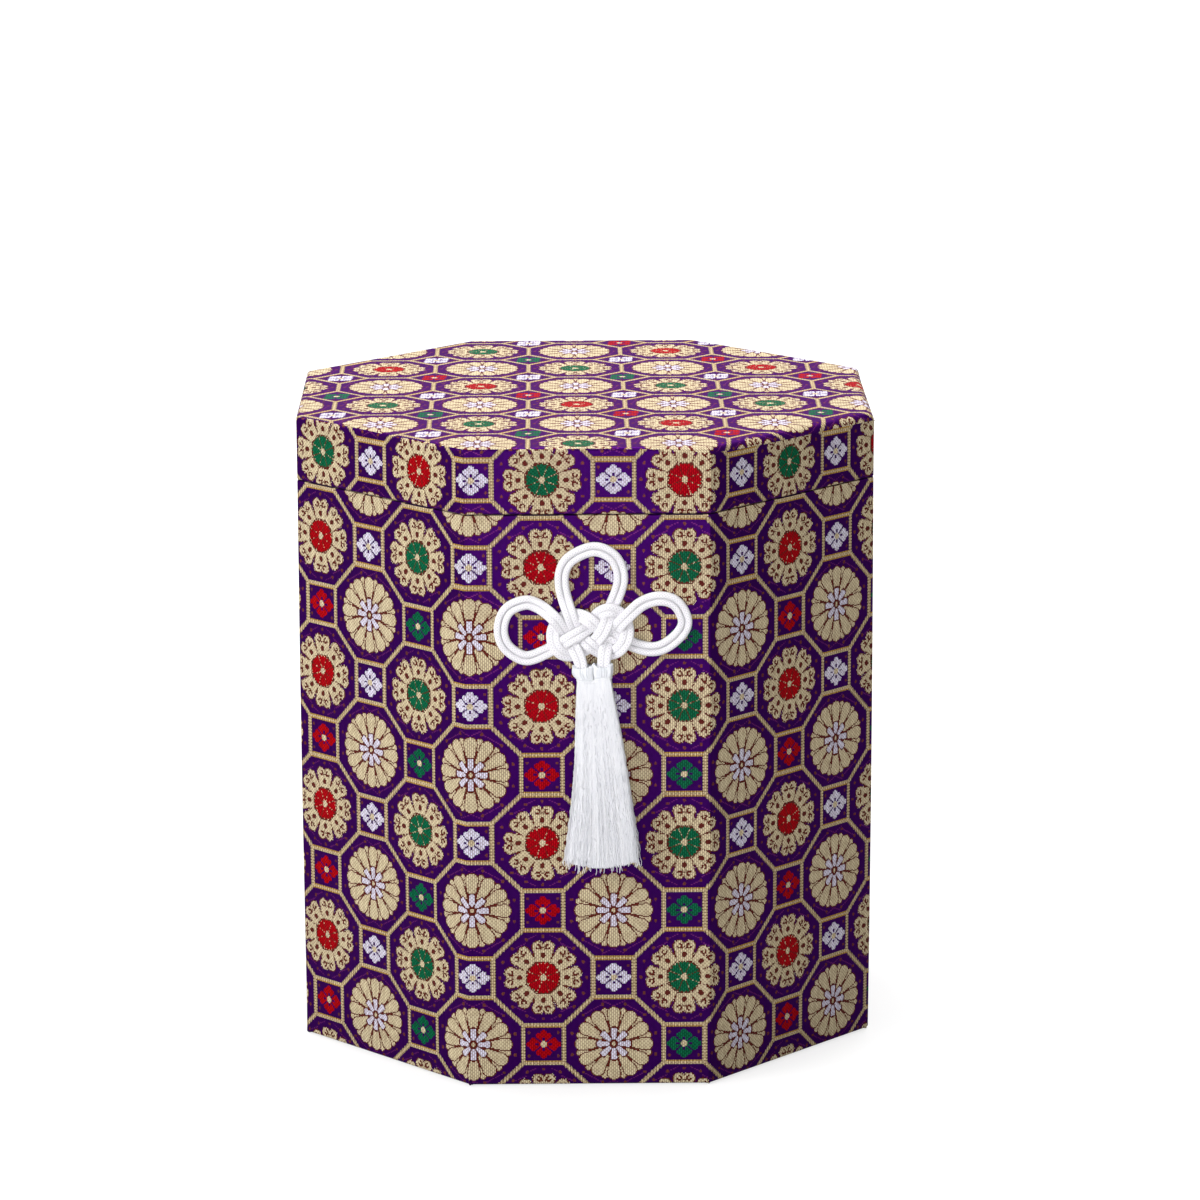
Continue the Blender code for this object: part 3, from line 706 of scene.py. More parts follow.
def rounded_profile(corners, radii, spacing):
    """A line through corners of (flat, height) rounded by radii, its points no further apart than spacing."""
    corners = np.array(corners, float)
    line = [corners[0]]
    for before, at, after, radius in zip(corners, corners[1:], corners[2:], radii):
        back = (before - at) / np.linalg.norm(before - at)
        on = (after - at) / np.linalg.norm(after - at)
        half = math.acos(np.clip(np.dot(back, on), -1, 1)) / 2
        reach = radius / math.tan(half)
        centre = at + (back + on) / np.linalg.norm(back + on) * radius / math.sin(half)
        start, end = at + back * reach - centre, at + on * reach - centre
        total = math.pi - 2 * half
        for k in range(ROLL_STEPS + 1):
            t = k / ROLL_STEPS
            arc = start * math.sin((1 - t) * total) + end * math.sin(t * total)
            line.append(centre + arc / math.sin(total))
    line.append(corners[-1])
    full = [line[0]]
    for point in line[1:]:
        gap = np.linalg.norm(point - full[-1])
        pieces = max(1, math.ceil(gap / spacing - 1e-6))
        first = full[-1]
        full += [first + (point - first) * k / pieces for k in range(1, pieces + 1)]
    return np.array(full)


def wall_corner(profile):
    """The corner's rounding for each row of a cloth that turns in from the wall."""
    return np.maximum(WALL_CORNER - (CLOTH_OUT - profile[:, 0]), LEAST_CORNER)


def plate_corner(profile, corner):
    """The corner's rounding for each row of a plate, less near its middle."""
    return np.minimum(corner, profile[:, 0] * 0.9)


def grid_normals(grid):
    """Outward normals of a grid of rows of points that runs round the box."""
    sideways = np.roll(grid, -1, axis=1) - np.roll(grid, 1, axis=1)
    normals = np.cross(np.gradient(grid, axis=0), sideways)
    size = np.linalg.norm(normals, axis=2, keepdims=True)
    return normals / np.where(size < TINY, 1, size)


def placed(name, data):
    """A new object in the scene."""
    thing = bpy.data.objects.new(name, data)
    bpy.context.scene.collection.objects.link(thing)
    return thing


def smooth_mesh(name, points, faces, material):
    mesh = bpy.data.meshes.new(name)
    mesh.from_pydata([tuple(p) for p in points], [], [tuple(f) for f in faces])
    mesh.shade_smooth()
    mesh.materials.append(material)
    return mesh


def mapped_piece(name, points, faces, material, uvs, uv_name="Cloth", normals=None):
    """A piece with its own map. uvs and normals go by face corner, in the faces' order."""
    mesh = smooth_mesh(name, points, faces, material)
    mesh.uv_layers.new(name=uv_name).data.foreach_set("uv", np.asarray(uvs, np.float32).ravel())
    if normals is not None:
        mesh.normals_split_custom_set([tuple(n) for n in normals])
    mesh.validate()
    return placed(name, mesh)


def belongs(piece, body, node):
    """Hangs a piece on the body it rides on and hides the CAD solid that it stands for."""
    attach(piece, body)
    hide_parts(node)


def shell(name, outer, inner, normals, flat_map, material, closed_round=True):
    """A closed sheet between an outer and an inner grid of points, with its own normals and cloth map.

    flat_map gives an outer point's place on the flat cloth. A ring's first row may be one point, a pole."""
    rows, columns = outer.shape[:2]
    pole = np.allclose(outer[0], outer[0, 0])
    points, faces, uvs, directions = [], [], [], []
    index = np.zeros((2, rows, columns), int)
    for layer, grid in enumerate((outer, inner)):
        for r in range(rows):
            if pole and r == 0:
                index[layer, r, :] = len(points)
                points.append(grid[r, 0])
                continue
            index[layer, r] = len(points) + np.arange(columns)
            points += list(grid[r])
    points = np.array(points)

    def face(corners, way):
        """corners are (layer, row, column) with an unwrapped column for the map."""
        kept, seen = [], set()
        for corner in corners:
            number = index[corner[0], corner[1], corner[2] % columns]
            if number not in seen:
                seen.add(number)
                kept.append(corner)
        faces.append([index[l, r, c % columns] for l, r, c in kept])
        flat = None
        if way is None:
            a, b, d = (points[i] for i in faces[-1][:3])
            flat = np.cross(b - a, d - b)
            size = np.linalg.norm(flat)
            flat = flat / size if size > TINY else np.array([0, 0, 1.0])
        for l, r, c in kept:
            uvs.append(flat_map(r, c))
            directions.append(flat if way is None else normals[r, c % columns] * way)

    last = columns if closed_round else columns - 1
    for r in range(rows - 1):
        for c in range(last):
            face([(0, r, c), (0, r + 1, c), (0, r + 1, c + 1), (0, r, c + 1)], 1)
            face([(1, r, c), (1, r, c + 1), (1, r + 1, c + 1), (1, r + 1, c)], -1)
    for c in range(last):
        if not pole:
            face([(0, 0, c), (0, 0, c + 1), (1, 0, c + 1), (1, 0, c)], None)
        face([(0, rows - 1, c), (1, rows - 1, c), (1, rows - 1, c + 1), (0, rows - 1, c + 1)], None)
    if not closed_round:
        for r in range(rows - 1):
            face([(0, r, 0), (1, r, 0), (1, r + 1, 0), (0, r + 1, 0)], None)
            c = columns - 1
            face([(0, r, c), (0, r + 1, c), (1, r + 1, c), (1, r, c)], None)
    return mapped_piece(name, points, faces, material, uvs, normals=directions)


def from_above(grid):
    """A sheet's map that is its own plan."""
    return lambda r, c: tuple(grid[r, c % grid.shape[1], :2])


# Distance round the box of each column, counted on past the last one
ROUND = [(side + FIRST_SIDE - 0.5) * SIDE_LENGTH + along for side in range(9) for along in ALONG[:COLUMNS]]


def waver(seed, count, low, high):
    """A smooth, seeded wander round the box: a function of distance that averages to nothing."""
    chance = np.random.default_rng(seed)
    waves = []
    for _ in range(count):
        waves.append((chance.integers(low, high), chance.uniform(0, math.tau), chance.uniform(0.4, 1)))
    total = sum(size for _, _, size in waves)
    return lambda share: sum(size * np.sin(math.tau * n * share + start) for n, start, size in waves) / total


def shares_round(outer):
    return np.linspace(0, 1, outer.shape[1], endpoint=False)


def lie_on(profile, corners):
    """Rows of rings for a profile of (flat, height) points, and their outward ways."""
    made = [ring(flat, height, corner) for (flat, height), corner in zip(profile, corners)]
    return np.array([points for points, _ in made]), np.array([ways for _, ways in made])


# The body's cloth is pulled a little, so that its repeat is longer than the lid's
BODY_STRETCH = (1.0124, 1.0075)
BODY_SHIFT = -0.00055
BODY_MIDDLE = 0.17
BODY_ROW_GAP = 0.012
WALL_BAG, WALL_BAG_WAVER = 0.00035, 0.00006  # how far the cloth stands off the wall's middle
WALL_FADE = 0.0005
FOOT_ROUND = 0.0011
FOOT_LIFT = 0.0005
# How far the cloth's fold stands out or draws in at each corner of the foot, from the cloth's join on
FOOT_FOLDS = (0.0002, 0.0002, 0.0003, 0.0006, -0.0003, -0.0016, -0.0006, 0.0)
FOLD_HEIGHT = 0.006
FOLD_COLUMNS = 2.0


def make_body_cloth():
    turned_in = [(BOARD_IN, BODY_HEIGHT), (CLOTH_OUT, BODY_HEIGHT)]
    turned_under = [(CLOTH_OUT, 0), (CLOTH_OUT - CLOTH_TURN_UNDER, 0)]
    profile = rounded_profile(turned_in + turned_under, [SEAM_ROUND, FOOT_ROUND], BODY_ROW_GAP)
    outer, ways = lie_on(profile, wall_corner(profile))
    run = run_along(profile)
    start_up = BODY_HEIGHT + (CLOTH_OUT - BOARD_IN) - (2 - math.pi / 2) * SEAM_ROUND
    # The cloth bags between its glued edges, and folds thicken the foot's corners
    height = outer[:, :, 2]
    bow = np.sin(np.clip(height / BODY_HEIGHT, 0, 1) * math.pi)
    low = np.exp(-((height / FOLD_HEIGHT) ** 2))
    bag = waver(3, 5, 3, 14)(shares_round(outer))[None, :] * WALL_BAG_WAVER + WALL_BAG
    on_wall = np.clip(1 - (CLOTH_OUT - profile[:, 0]) / WALL_FADE, 0, 1)[:, None]
    number = np.arange(outer.shape[1])
    fold = np.zeros(outer.shape[1])
    for k, out in enumerate(FOOT_FOLDS):
        away = (number - k * COLUMNS + len(number) / 2) % len(number) - len(number) / 2
        near = np.exp(-((away / FOLD_COLUMNS) ** 2))
        fold += near
        outer[:, :, :2] += ways * (low * near[None, :] * out * on_wall)[:, :, None]
    outer[:, :, :2] += ways * (bag * bow * on_wall)[:, :, None]
    outer[:, :, 2] += FOOT_LIFT * low * (1 - np.clip(fold, 0, 1))[None, :]
    normals = grid_normals(outer)
    inner = outer - normals * CLOTH
    inner[:, :, 2] = np.maximum(inner[:, :, 2], 0)

    for side, side_name in enumerate(SIDE_NAMES):
        first = (side - FIRST_SIDE) % 8 * COLUMNS
        picked = np.arange(first, first + COLUMNS + 1) % outer.shape[1]
        grids = (outer[:, picked], inner[:, picked], normals[:, picked])

        def flat_map(r, c, first=first):
            across = (ROUND[first + c] - BODY_SHIFT) / BODY_STRETCH[0]
            return across, BODY_MIDDLE + (start_up - run[r] - BODY_MIDDLE) / BODY_STRETCH[1]

        piece = shell(f"body_cloth_{side_name}", *grids, flat_map, BROCADE, closed_round=False)
        belongs(piece, "box", "body_brocade")


LID_ROLL = 0.0040
LID_ROLL_TIGHT = 0.0018
ROLL_SHARE_TIGHT = 0.5  # how much of its roll the top cloth covers where it is pulled tight
LOOSE_WAY = math.radians(-25)  # the cloth lies loose over the rim only at the front right and right
LOOSE_REACH, LOOSE_FADE = 0.72, 12
LID_TOP_CORNER = 0.0042
LID_CROWN = 0.0001
LID_PATTERN_MIDDLE = (-0.0035, 0.0105)
LIP_RISES = (0.0003, 0.0002, 0.0001)  # rows of the band's edge above where the top cloth starts
BAND_RISE = 0.02105
BAND_ROW_GAP = 0.004
JOIN_WAVER = 0.0003


def join_wander(outer):
    """How far the edge where the lid's two cloths meet wanders up and down round the lid."""
    return waver(21, 9, 7, 60)(shares_round(outer)) * JOIN_WAVER


def rim_arc(roll, first, last, count):
    """Points on the lid's rim, from one share of its quarter turn to another."""
    top = LID_TOP - LID_CROWN
    drop = top - (LID_TOP - roll)
    turns = np.linspace(first, last, count) * math.pi / 2
    return [(CLOTH_OUT - roll + roll * math.sin(a), top - drop * (1 - math.cos(a))) for a in turns]


def lid_top_profile(roll, share):
    """The lid's top cloth from its middle outwards and over the rim to its edge."""
    start = CLOTH_OUT - roll
    top = [(d, LID_TOP - LID_CROWN * (d / start) ** 3) for d in np.linspace(0, start - 0.0004, 14)]
    return np.array(top + rim_arc(roll, 0, share, 11))


def pulled_tight(outer):
    """1 where the lid's cloth is pulled tight over the rim, 0 where it lies loose, round the lid."""
    around = np.arctan2(outer[-1, :, 1], outer[-1, :, 0])
    return 0.5 - 0.5 * np.tanh(LOOSE_FADE * (np.cos(around - LOOSE_WAY) - LOOSE_REACH))


def towards(outer, ways, profile, other, share):
    """Rings laid for one profile, moved by a share towards another profile with as many rows."""
    change = (other - profile)[:, None, :] * share[None, :, None]
    outer[:, :, :2] += ways * change[:, :, :1]
    outer[:, :, 2] += change[:, :, 1]


def make_lid_band_cloth():
    top = LID_TOP - LID_ROLL
    foot = [(CLOTH_OUT, top), (CLOTH_OUT, LID_BOTTOM), (BOARD_IN, LID_BOTTOM)]
    foot = rounded_profile(foot, [SEAM_ROUND], BAND_ROW_GAP)
    profile = np.array([(CLOTH_OUT, top + rise) for rise in LIP_RISES] + list(foot))
    tight_lip = rim_arc(LID_ROLL_TIGHT, ROLL_SHARE_TIGHT, 1, len(LIP_RISES) + 1)
    tight = np.array(tight_lip + list(foot[1:]))
    outer, ways = lie_on(profile, wall_corner(profile))
    towards(outer, ways, profile, tight, pulled_tight(outer))
    outer[0, :, 2] += join_wander(outer)
    normals = grid_normals(outer)
    run = run_along(profile)
    down = run_along(outer)
    up = LID_BOTTOM + BAND_RISE + down[-1].mean() - down - (CLOTH_OUT - BOARD_IN)

    def flat_map(r, c):
        column = c % outer.shape[1]
        return ROUND[c] + PATTERN_REPEAT, up[r, column] + (down[-1, column] - down[-1].mean())

    piece = shell("lid_band_cloth", outer, outer - normals * CLOTH, normals, flat_map, BROCADE)
    belongs(piece, "lid", "lid_band_brocade")


def make_lid_top_cloth():
    profile, tight = lid_top_profile(LID_ROLL, 1), lid_top_profile(LID_ROLL_TIGHT, ROLL_SHARE_TIGHT)
    inset = CLOTH_OUT - profile[:, 0]
    corner = np.clip(WALL_CORNER + inset * 0.8, 0, LID_TOP_CORNER)
    outer, ways = lie_on(profile, plate_corner(profile, corner))
    towards(outer, ways, profile, tight, pulled_tight(outer))
    outer[-1, :, 2] += join_wander(outer)
    run = run_along(profile)
    normals = grid_normals(outer)
    normals[0] = (0, 0, 1)
    # The pattern runs on over the rim, where the cloth goes further than its plan
    beyond = run_along(outer) - run_along(outer[:, :, :2])
    turned = outer[:, :, :2] + ways * beyond[:, :, None] - np.array(LID_PATTERN_MIDDLE)
    u = PATTERN_START[0] + (turned[:, :, 0] + turned[:, :, 1]) / math.sqrt(2)
    v = PATTERN_START[1] + (turned[:, :, 1] - turned[:, :, 0]) / math.sqrt(2)
    flat_map = from_above(np.dstack([u, v]))
    piece = shell("lid_top_cloth", outer, outer - normals * CLOTH, normals, flat_map, BROCADE)
    belongs(piece, "lid", "lid_top_brocade")


PLATE_CORNER = 0.0006
PLATE_EDGE_SHARE = 0.35  # how much of a flat sheet's thickness its softened edge takes


def make_flat_piece(name, profile, corner, floor, material, shape=None):
    """A flat eight-sided piece, from its middle out. floor is its underside's height, for all or by row."""
    outer, _ = lie_on(profile, plate_corner(profile, corner))
    if shape:
        shape(outer)
    inner = outer.copy()
    inner[:, :, 2] = np.broadcast_to(floor, len(profile))[:, None]
    normals = grid_normals(outer)
    normals[0] = (0, 0, 1)
    return shell(name, outer, inner, normals, from_above(outer), material)


def make_plate_sheet(name, flat, bottom, thickness, node, body, held):
    """A flat eight-sided paper with softened edges."""
    edge = thickness * PLATE_EDGE_SHARE
    top = bottom + thickness
    rows = [(d, top) for d in np.linspace(0, flat - edge, 6)]
    rows += [(flat - edge * 0.3, top - edge * 0.3), (flat, top - edge)]
    piece = make_flat_piece(name, np.array(rows), PLATE_CORNER, bottom, LINING_PAPER)
    belongs(piece, body, node)


LINING_CORNER = 0.0012


def make_wall_lining():
    """The paper round the chamber, with its top edge rounded."""
    rows = [(LINING_OUT - LINING, z) for z in np.linspace(WALL_BOTTOM, COLLAR_TOP - 0.0002, 10)]
    rows += [(LINING_OUT - LINING * 0.8, COLLAR_TOP - 0.00005), (LINING_OUT - LINING * 0.5, COLLAR_TOP)]
    profile = np.array(rows)
    facing_in, ways = lie_on(profile, np.full(len(profile), LINING_CORNER))
    backing = facing_in.copy()
    backing[:, :, :2] += ways * (LINING_OUT - profile[:, 0])[:, None, None]
    run = run_along(profile)
    grids = (facing_in, backing, grid_normals(facing_in))
    piece = shell("wall_lining_paper", *grids, lambda r, c: (ROUND[c], run[r]), LINING_PAPER)
    belongs(piece, "box", "wall_lining")


WADDING_THICKNESS = 0.0015
WADDING_FALL = 0.0009  # how much thinner the pad is at its rim
WADDING_CORNER = 0.002
LUMP_DEPTH, LUMP_WAVES = 0.00015, (260, 230)


def make_wadding():
    """A thin quilted pad under the lid's cloth, thinner towards its rim."""
    chance = waver(11, 6, 9, 40)
    top = WADDING_TOP - 0.00005
    along = np.linspace(0, WADDING_OUT - 0.0012, 16)
    rows = [(d, top - WADDING_FALL * (d / WADDING_OUT) ** 6) for d in along]
    rows += [(WADDING_OUT - 0.0005, WADDING_TOP - 0.0013), (WADDING_OUT - 0.0004, WADDING_TOP - 0.0015)]
    floor = np.full(len(rows), WADDING_TOP - WADDING_THICKNESS)
    floor[-1] -= 0.00002

    def lumpy(outer):
        waves = [np.sin(outer[:, :, k] * LUMP_WAVES[k]) for k in (0, 1)]
        lumps = chance(shares_round(outer))[None, :] * waves[0] * waves[1]
        outer[1:-2, :, 2] -= LUMP_DEPTH * np.abs(lumps[1:-2])

    piece = make_flat_piece("lid_wadding_pad", np.array(rows), WADDING_CORNER, floor, WADDING, lumpy)
    belongs(piece, "lid", "lid_wadding")


# ---------------------------------------------------------------- knot

CORD_SIDES = 24
CORD_RING_GAP = 0.00026
BRAID_RELIEF = 0.045
# Shares for the loose loops and for where the weave presses the cord flat
CORD_WIDTH = (1.05, 1.12)
CORD_APART = (1.03, 0.9)  # how far the pair's two middles lie apart
CORD_SECTION = (0.8, 0.64)  # 1 is round, and less is squarer
WEAVE_LEVEL = 0.85  # how closely the layers lie on each other
LEG_NARROWING = 0.12
LEG_STEPS = 16
ROUTE_SAMPLES = 8
ROUTE_STEP = 0.4
ROUTE_EASING = 3.5
TURN_STEPS = 13


def boxed(turn, squareness):
    """Across and along of a round turned a little square."""
    c, s = np.cos(turn), np.sin(turn)
    return np.sign(c) * np.abs(c) ** squareness, np.sign(s) * np.abs(s) ** squareness


def through(rows, samples):
    """A smooth line through the rows."""
    rows = np.array(rows, float)
    padded = np.vstack([2 * rows[0] - rows[1], rows, 2 * rows[-1] - rows[-2]])
    line = []
    for before, start, end, after in zip(padded, padded[1:], padded[2:], padded[3:]):
        for t in np.arange(samples) / samples:
            bend = 2 * before - 5 * start + 4 * end - after
            twist = 3 * start - 3 * end + after - before
            line.append((2 * start + (end - before) * t + bend * t**2 + twist * t**3) / 2)
    line.append(rows[-1])
    return np.array(line)


def eased(rows):
    """The rows with their small kinks smoothed out, and both ends kept."""
    reach = int(ROUTE_EASING * 3)
    share = np.exp(-0.5 * (np.arange(-reach, reach + 1) / ROUTE_EASING) ** 2)
    share /= share.sum()
    before, after = 2 * rows[0] - rows[reach:0:-1], 2 * rows[-1] - rows[-2 : -reach - 2 : -1]
    full = np.vstack([before, rows, after])
    return np.column_stack([np.convolve(column, share, "valid") for column in full.T])


def even_line(points, extra, gap):
    """The line again with points a fixed distance apart, with the extra values and the distance at each."""
    run = run_along(points)
    count = int(run[-1] / gap)
    at = np.linspace(0, run[-1], count + 1)
    evened = [np.column_stack([np.interp(at, run, column) for column in rows.T]) for rows in (points, extra)]
    return *evened, at


def unit(rows):
    return rows / np.linalg.norm(rows, axis=1, keepdims=True)


def cord_line():
    """The one cord, which follows the route, turns back and returns beside itself: its centre points, and at
    each its thickness and width as shares of the cord, and how square it is."""
    rows = through(KNOT_ROUTE, ROUTE_SAMPLES)
    plan, state, _ = even_line(rows[:, :2], rows[:, 2:], ROUTE_STEP)
    plan, state = eased(plan), eased(state)
    x = KNOT_X + plan[:, 0] * KNOT_GRID
    z = KNOT_Z + plan[:, 1] * KNOT_GRID
    level = np.clip(state[:, 0], 0, None)
    pressed = np.clip(state[:, 1], 0, 1)
    thickness = 1 - (1 - CORD_PINCH_SHARE) * pressed
    y = -(CLOTH_OUT + GAP + CORD / 2 * thickness + level * CORD_LEVEL * WEAVE_LEVEL)
    way = unit(np.column_stack([np.gradient(x), np.gradient(z)]))
    beside = np.column_stack([-way[:, 1], way[:, 0]])
    shares = (CORD_WIDTH, CORD_APART, CORD_SECTION)
    width, apart, section = (loose + (tight - loose) * pressed for loose, tight in shares)
    from_end = np.minimum(np.arange(len(x)), np.arange(len(x))[::-1]) / LEG_STEPS
    narrowing = 1 - LEG_NARROWING * np.clip(1 - from_end, 0, 1)
    width, apart = width * narrowing, apart * narrowing
    half_pair = (CORD * apart / 2)[:, None]
    middle = np.column_stack([x, z])
    one, other = middle + beside * half_pair, middle - beside * half_pair
    angles = np.linspace(0, math.pi, TURN_STEPS)[1:-1, None]
    turn = middle[0] + half_pair[0] * (np.cos(angles) * beside[0] - np.sin(angles) * way[0])
    flat = np.vstack([one[::-1], turn, other])
    depth = np.concatenate([y[::-1], np.full(len(turn), y[0]), y])
    sizes = np.column_stack([thickness, width, section])
    sizes = np.concatenate([sizes[::-1], np.repeat(sizes[:1], len(turn), axis=0), sizes])
    return np.column_stack([flat[:, 0], depth, flat[:, 1]]), sizes


def make_knot():
    points, sizes = cord_line()
    points, sizes, run = even_line(points, sizes, CORD_RING_GAP)
    forward = unit(np.gradient(points, axis=0))
    outward = np.array([0.0, -1.0, 0.0])
    up = unit(outward - forward * (forward @ outward)[:, None])
    side = np.cross(forward, up)
    around = np.arange(CORD_SIDES + 1) / CORD_SIDES
    rings, count = len(points), CORD_SIDES
    angle = around[:-1] * math.tau
    flat_up, flat_side = boxed(angle[None, :], sizes[:, 2:])
    turns, along = np.meshgrid(angle * BRAID_STRANDS_ROUND, run / BRAID_PITCH * math.tau)
    relief = np.maximum(np.cos(turns + along), np.cos(turns - along))
    radius = CORD / 2 * (1 + BRAID_RELIEF * (relief - 1))
    # Each end closes over a short dome
    ends = np.minimum(run, run[-1] - run) / (CORD / 2)
    radius *= np.sqrt(np.clip(1 - (1 - np.clip(ends, 0, 1)) ** 2, 0.02, 1))[:, None]
    place_of = (
        points[:, None, :]
        + (radius * sizes[:, :1])[:, :, None] * flat_up[:, :, None] * up[:, None, :]
        + (radius * sizes[:, 1:2])[:, :, None] * flat_side[:, :, None] * side[:, None, :]
    )
    verts = list(place_of.reshape(-1, 3)) + [points[0], points[-1]]
    faces, uvs = [], []
    for r in range(rings - 1):
        for c in range(count):
            d = (c + 1) % count
            faces.append((r * count + c, r * count + d, (r + 1) * count + d, (r + 1) * count + c))
            low, high = run[r], run[r + 1]
            uvs += [(around[c], low), (around[c + 1], low), (around[c + 1], high), (around[c], high)]
    last = (rings - 1) * count
    for c in range(count):
        d = (c + 1) % count
        faces.append((len(verts) - 2, d, c))
        uvs += [(around[c], run[0])] * 3
        faces.append((len(verts) - 1, last + c, last + d))
        uvs += [(around[c], run[-1])] * 3
    piece = mapped_piece("knot_doubled_cord", verts, faces, WHITE_CORD, uvs, uv_name="Braid")
    belongs(piece, "box", "knot_cord")


# ---------------------------------------------------------------- tassel


def make_tube_tree():
    """Turns the edges of a mesh into round tubes. Each point's thickness attribute scales the tube there."""
    inputs = [
        ("Lines", "Geometry", None),
        ("Strand Radius", "Float", 0.0002),
        ("Sides", "Int", 3),
        ("Facing", "Vector", None),
        ("Finish", "Material", None),
    ]
    tree, start, end = new_group("Strand tubes", inputs, [("Tubes", "Geometry", None)], "GeometryNodeTree")
    kinds = ("MeshToCurve", "InputNamedAttribute", "SetCurveRadius", "SetCurveNormal", "CurvePrimitiveCircle")
    lines, thick, sized, turned, circle = (tree.nodes.new("GeometryNode" + kind) for kind in kinds)
    kinds = ("CurveToMesh", "RealizeInstances", "SetMaterial")
    tube, real, finish = (tree.nodes.new("GeometryNode" + kind) for kind in kinds)
    thick.data_type = "FLOAT"
    thick.inputs["Name"].default_value = "thickness"
    turned.mode = "FREE"
    tube.inputs["Fill Caps"].default_value = True
    for output, socket in (
        (start["Lines"], lines.inputs["Mesh"]),
        (lines.outputs["Curve"], sized.inputs["Curve"]),
        (thick.outputs["Attribute"], sized.inputs["Radius"]),
        (start["Sides"], circle.inputs["Resolution"]),
        (start["Strand Radius"], circle.inputs["Radius"]),
        (sized.outputs["Curve"], turned.inputs["Curve"]),
        (start["Facing"], turned.inputs["Normal"]),
        (turned.outputs["Curve"], tube.inputs["Curve"]),
        (circle.outputs["Curve"], tube.inputs["Profile Curve"]),
        (tube.outputs["Mesh"], real.inputs["Geometry"]),
        (real.outputs["Geometry"], finish.inputs["Geometry"]),
        (start["Finish"], finish.inputs["Material"]),
        (finish.outputs["Geometry"], end["Tubes"]),
    ):
        tree.links.new(output, socket)
    return tree


TUBES = make_tube_tree()


def tubes_mesh(name, lines, radius, sides, material, facing=(0.0, -1.0, 0.0)):
    """lines holds, for each tube, its points, its thickness at each and its shade. Returns a plain mesh."""
    points, edges, thickness, shade = [], [], [], []
    for line, thick, dark in lines:
        first = len(points)
        points += [tuple(p) for p in line]
        edges += [(first + k, first + k + 1) for k in range(len(line) - 1)]
        thickness += list(thick)
        shade += [dark] * len(line)
    mesh = bpy.data.meshes.new(name)
    mesh.from_pydata(points, edges, [])
    for label, values in (("thickness", thickness), ("strand_shade", shade)):
        layer = mesh.attributes.new(label, "FLOAT", "POINT")
        layer.data.foreach_set("value", np.array(values, np.float32))
    guide = placed(name + "_lines", mesh)
    sweep = guide.modifiers.new("Tubes", "NODES")
    sweep.node_group = TUBES
    values = {"Strand Radius": radius, "Sides": sides, "Facing": facing, "Finish": material}
    for item in TUBES.interface.items_tree:
        if item.in_out == "INPUT" and item.name != "Lines":
            sweep[item.identifier] = values[item.name]
    bpy.context.view_layer.update()
    made = bpy.data.meshes.new_from_object(guide.evaluated_get(bpy.context.evaluated_depsgraph_get()))
    bpy.data.objects.remove(guide)
    made.name = name
    made.shade_smooth()
    return made


def piece_of(name, *meshes):
    """One object of one or several meshes with the same material."""
    objects = [placed(name, mesh) for mesh in meshes]
    if len(objects) > 1:
        with bpy.context.temp_override(
            active_object=objects[0],
            object=objects[0],
            selected_objects=objects,
            selected_editable_objects=objects,
        ):
            bpy.ops.object.join()
    objects[0].name = name
    return objects[0]


def lofted(name, grid, material, shade=0.3):
    """A closed skin over rows of rings, with a point in the middle of the first and last."""
    rows, columns = grid.shape[:2]
    points = list(grid.reshape(-1, 3)) + [grid[0].mean(axis=0), grid[-1].mean(axis=0)]
    faces = []
    for c in range(columns):
        d = (c + 1) % columns
        for r in range(rows - 1):
            faces.append((r * columns + c, (r + 1) * columns + c, (r + 1) * columns + d, r * columns + d))
        faces.append((len(points) - 2, c, d))
        faces.append((len(points) - 1, (rows - 1) * columns + d, (rows - 1) * columns + c))
    mesh = smooth_mesh(name, points, faces, material)
    layer = mesh.attributes.new("strand_shade", "FLOAT", "POINT")
    layer.data.foreach_set("value", np.full(len(points), shade, np.float32))
    return mesh


RANDOM_SEED = 7
STRAND_RADIUS = 0.00015
HEAD_COLUMNS = 96
HEAD_FOOT = {"left": 0.1741, "right": 0.1751}
HEAD_TOP = {"left": 0.1799, "right": 0.1803}
HEAD_HALF_DEPTH = 0.0033
HEAD_SQUARENESS = 0.6
HEAD_STRANDS = 170
HEAD_DENTS = ((3, 0.5), (5, 0.5), (9, 0.4))  # dents round a cuff and their share of the depth
DENT_DEPTH = 0.00018
CORE_SHARE = 0.95
# Middle and half width of each cuff across the front, at its neck and at its mouth
HEAD_SPAN = {
    "left": ((-0.0010, 0.0035), (-0.0019, 0.0044)),
    "right": ((0.0058, 0.0037), (0.0060, 0.0040)),
}
# Points of the mouth's rim: turn from the right hand side, rise and breadth
HEAD_PEAKS = {
    "left": (
        (-0.3, 0.0015, 0.5),
        (3.3, -0.0007, 0.5),
        (3.9, 0.0006, 0.25),
        (5.1, 0.0005, 0.25),
        (1.8, 0.0009, 0.4),
    ),
    "right": (
        (-0.35, 0.0012, 0.4),
        (3.5, 0.0010, 0.4),
        (4.3, 0.0004, 0.25),
        (5.3, 0.0006, 0.3),
        (1.2, 0.0009, 0.4),
    ),
}
# A cuff's rings: height from the neck to the mouth, spread from the neck's size to the mouth's, and size
HEAD_OUTSIDE = (
    (0.0, 0.0, 0.96),
    (0.05, 0.0, 1.0),
    (0.16, 0.02, 1.0),
    (0.27, 0.3, 1.0),
    (0.4, 0.62, 1.0),
    (0.55, 0.85, 1.0),
    (0.7, 0.97, 1.0),
    (0.84, 1.0, 1.0),
    (0.94, 1.0, 1.0),
    (0.98, 1.0, 0.97),
)
HEAD_INSIDE = ((0.97, 1.0, 0.9), (0.9, 1.0, 0.84), (0.82, 1.0, 0.7), (0.76, 1.0, 0.4), (0.74, 1.0, 0.02))


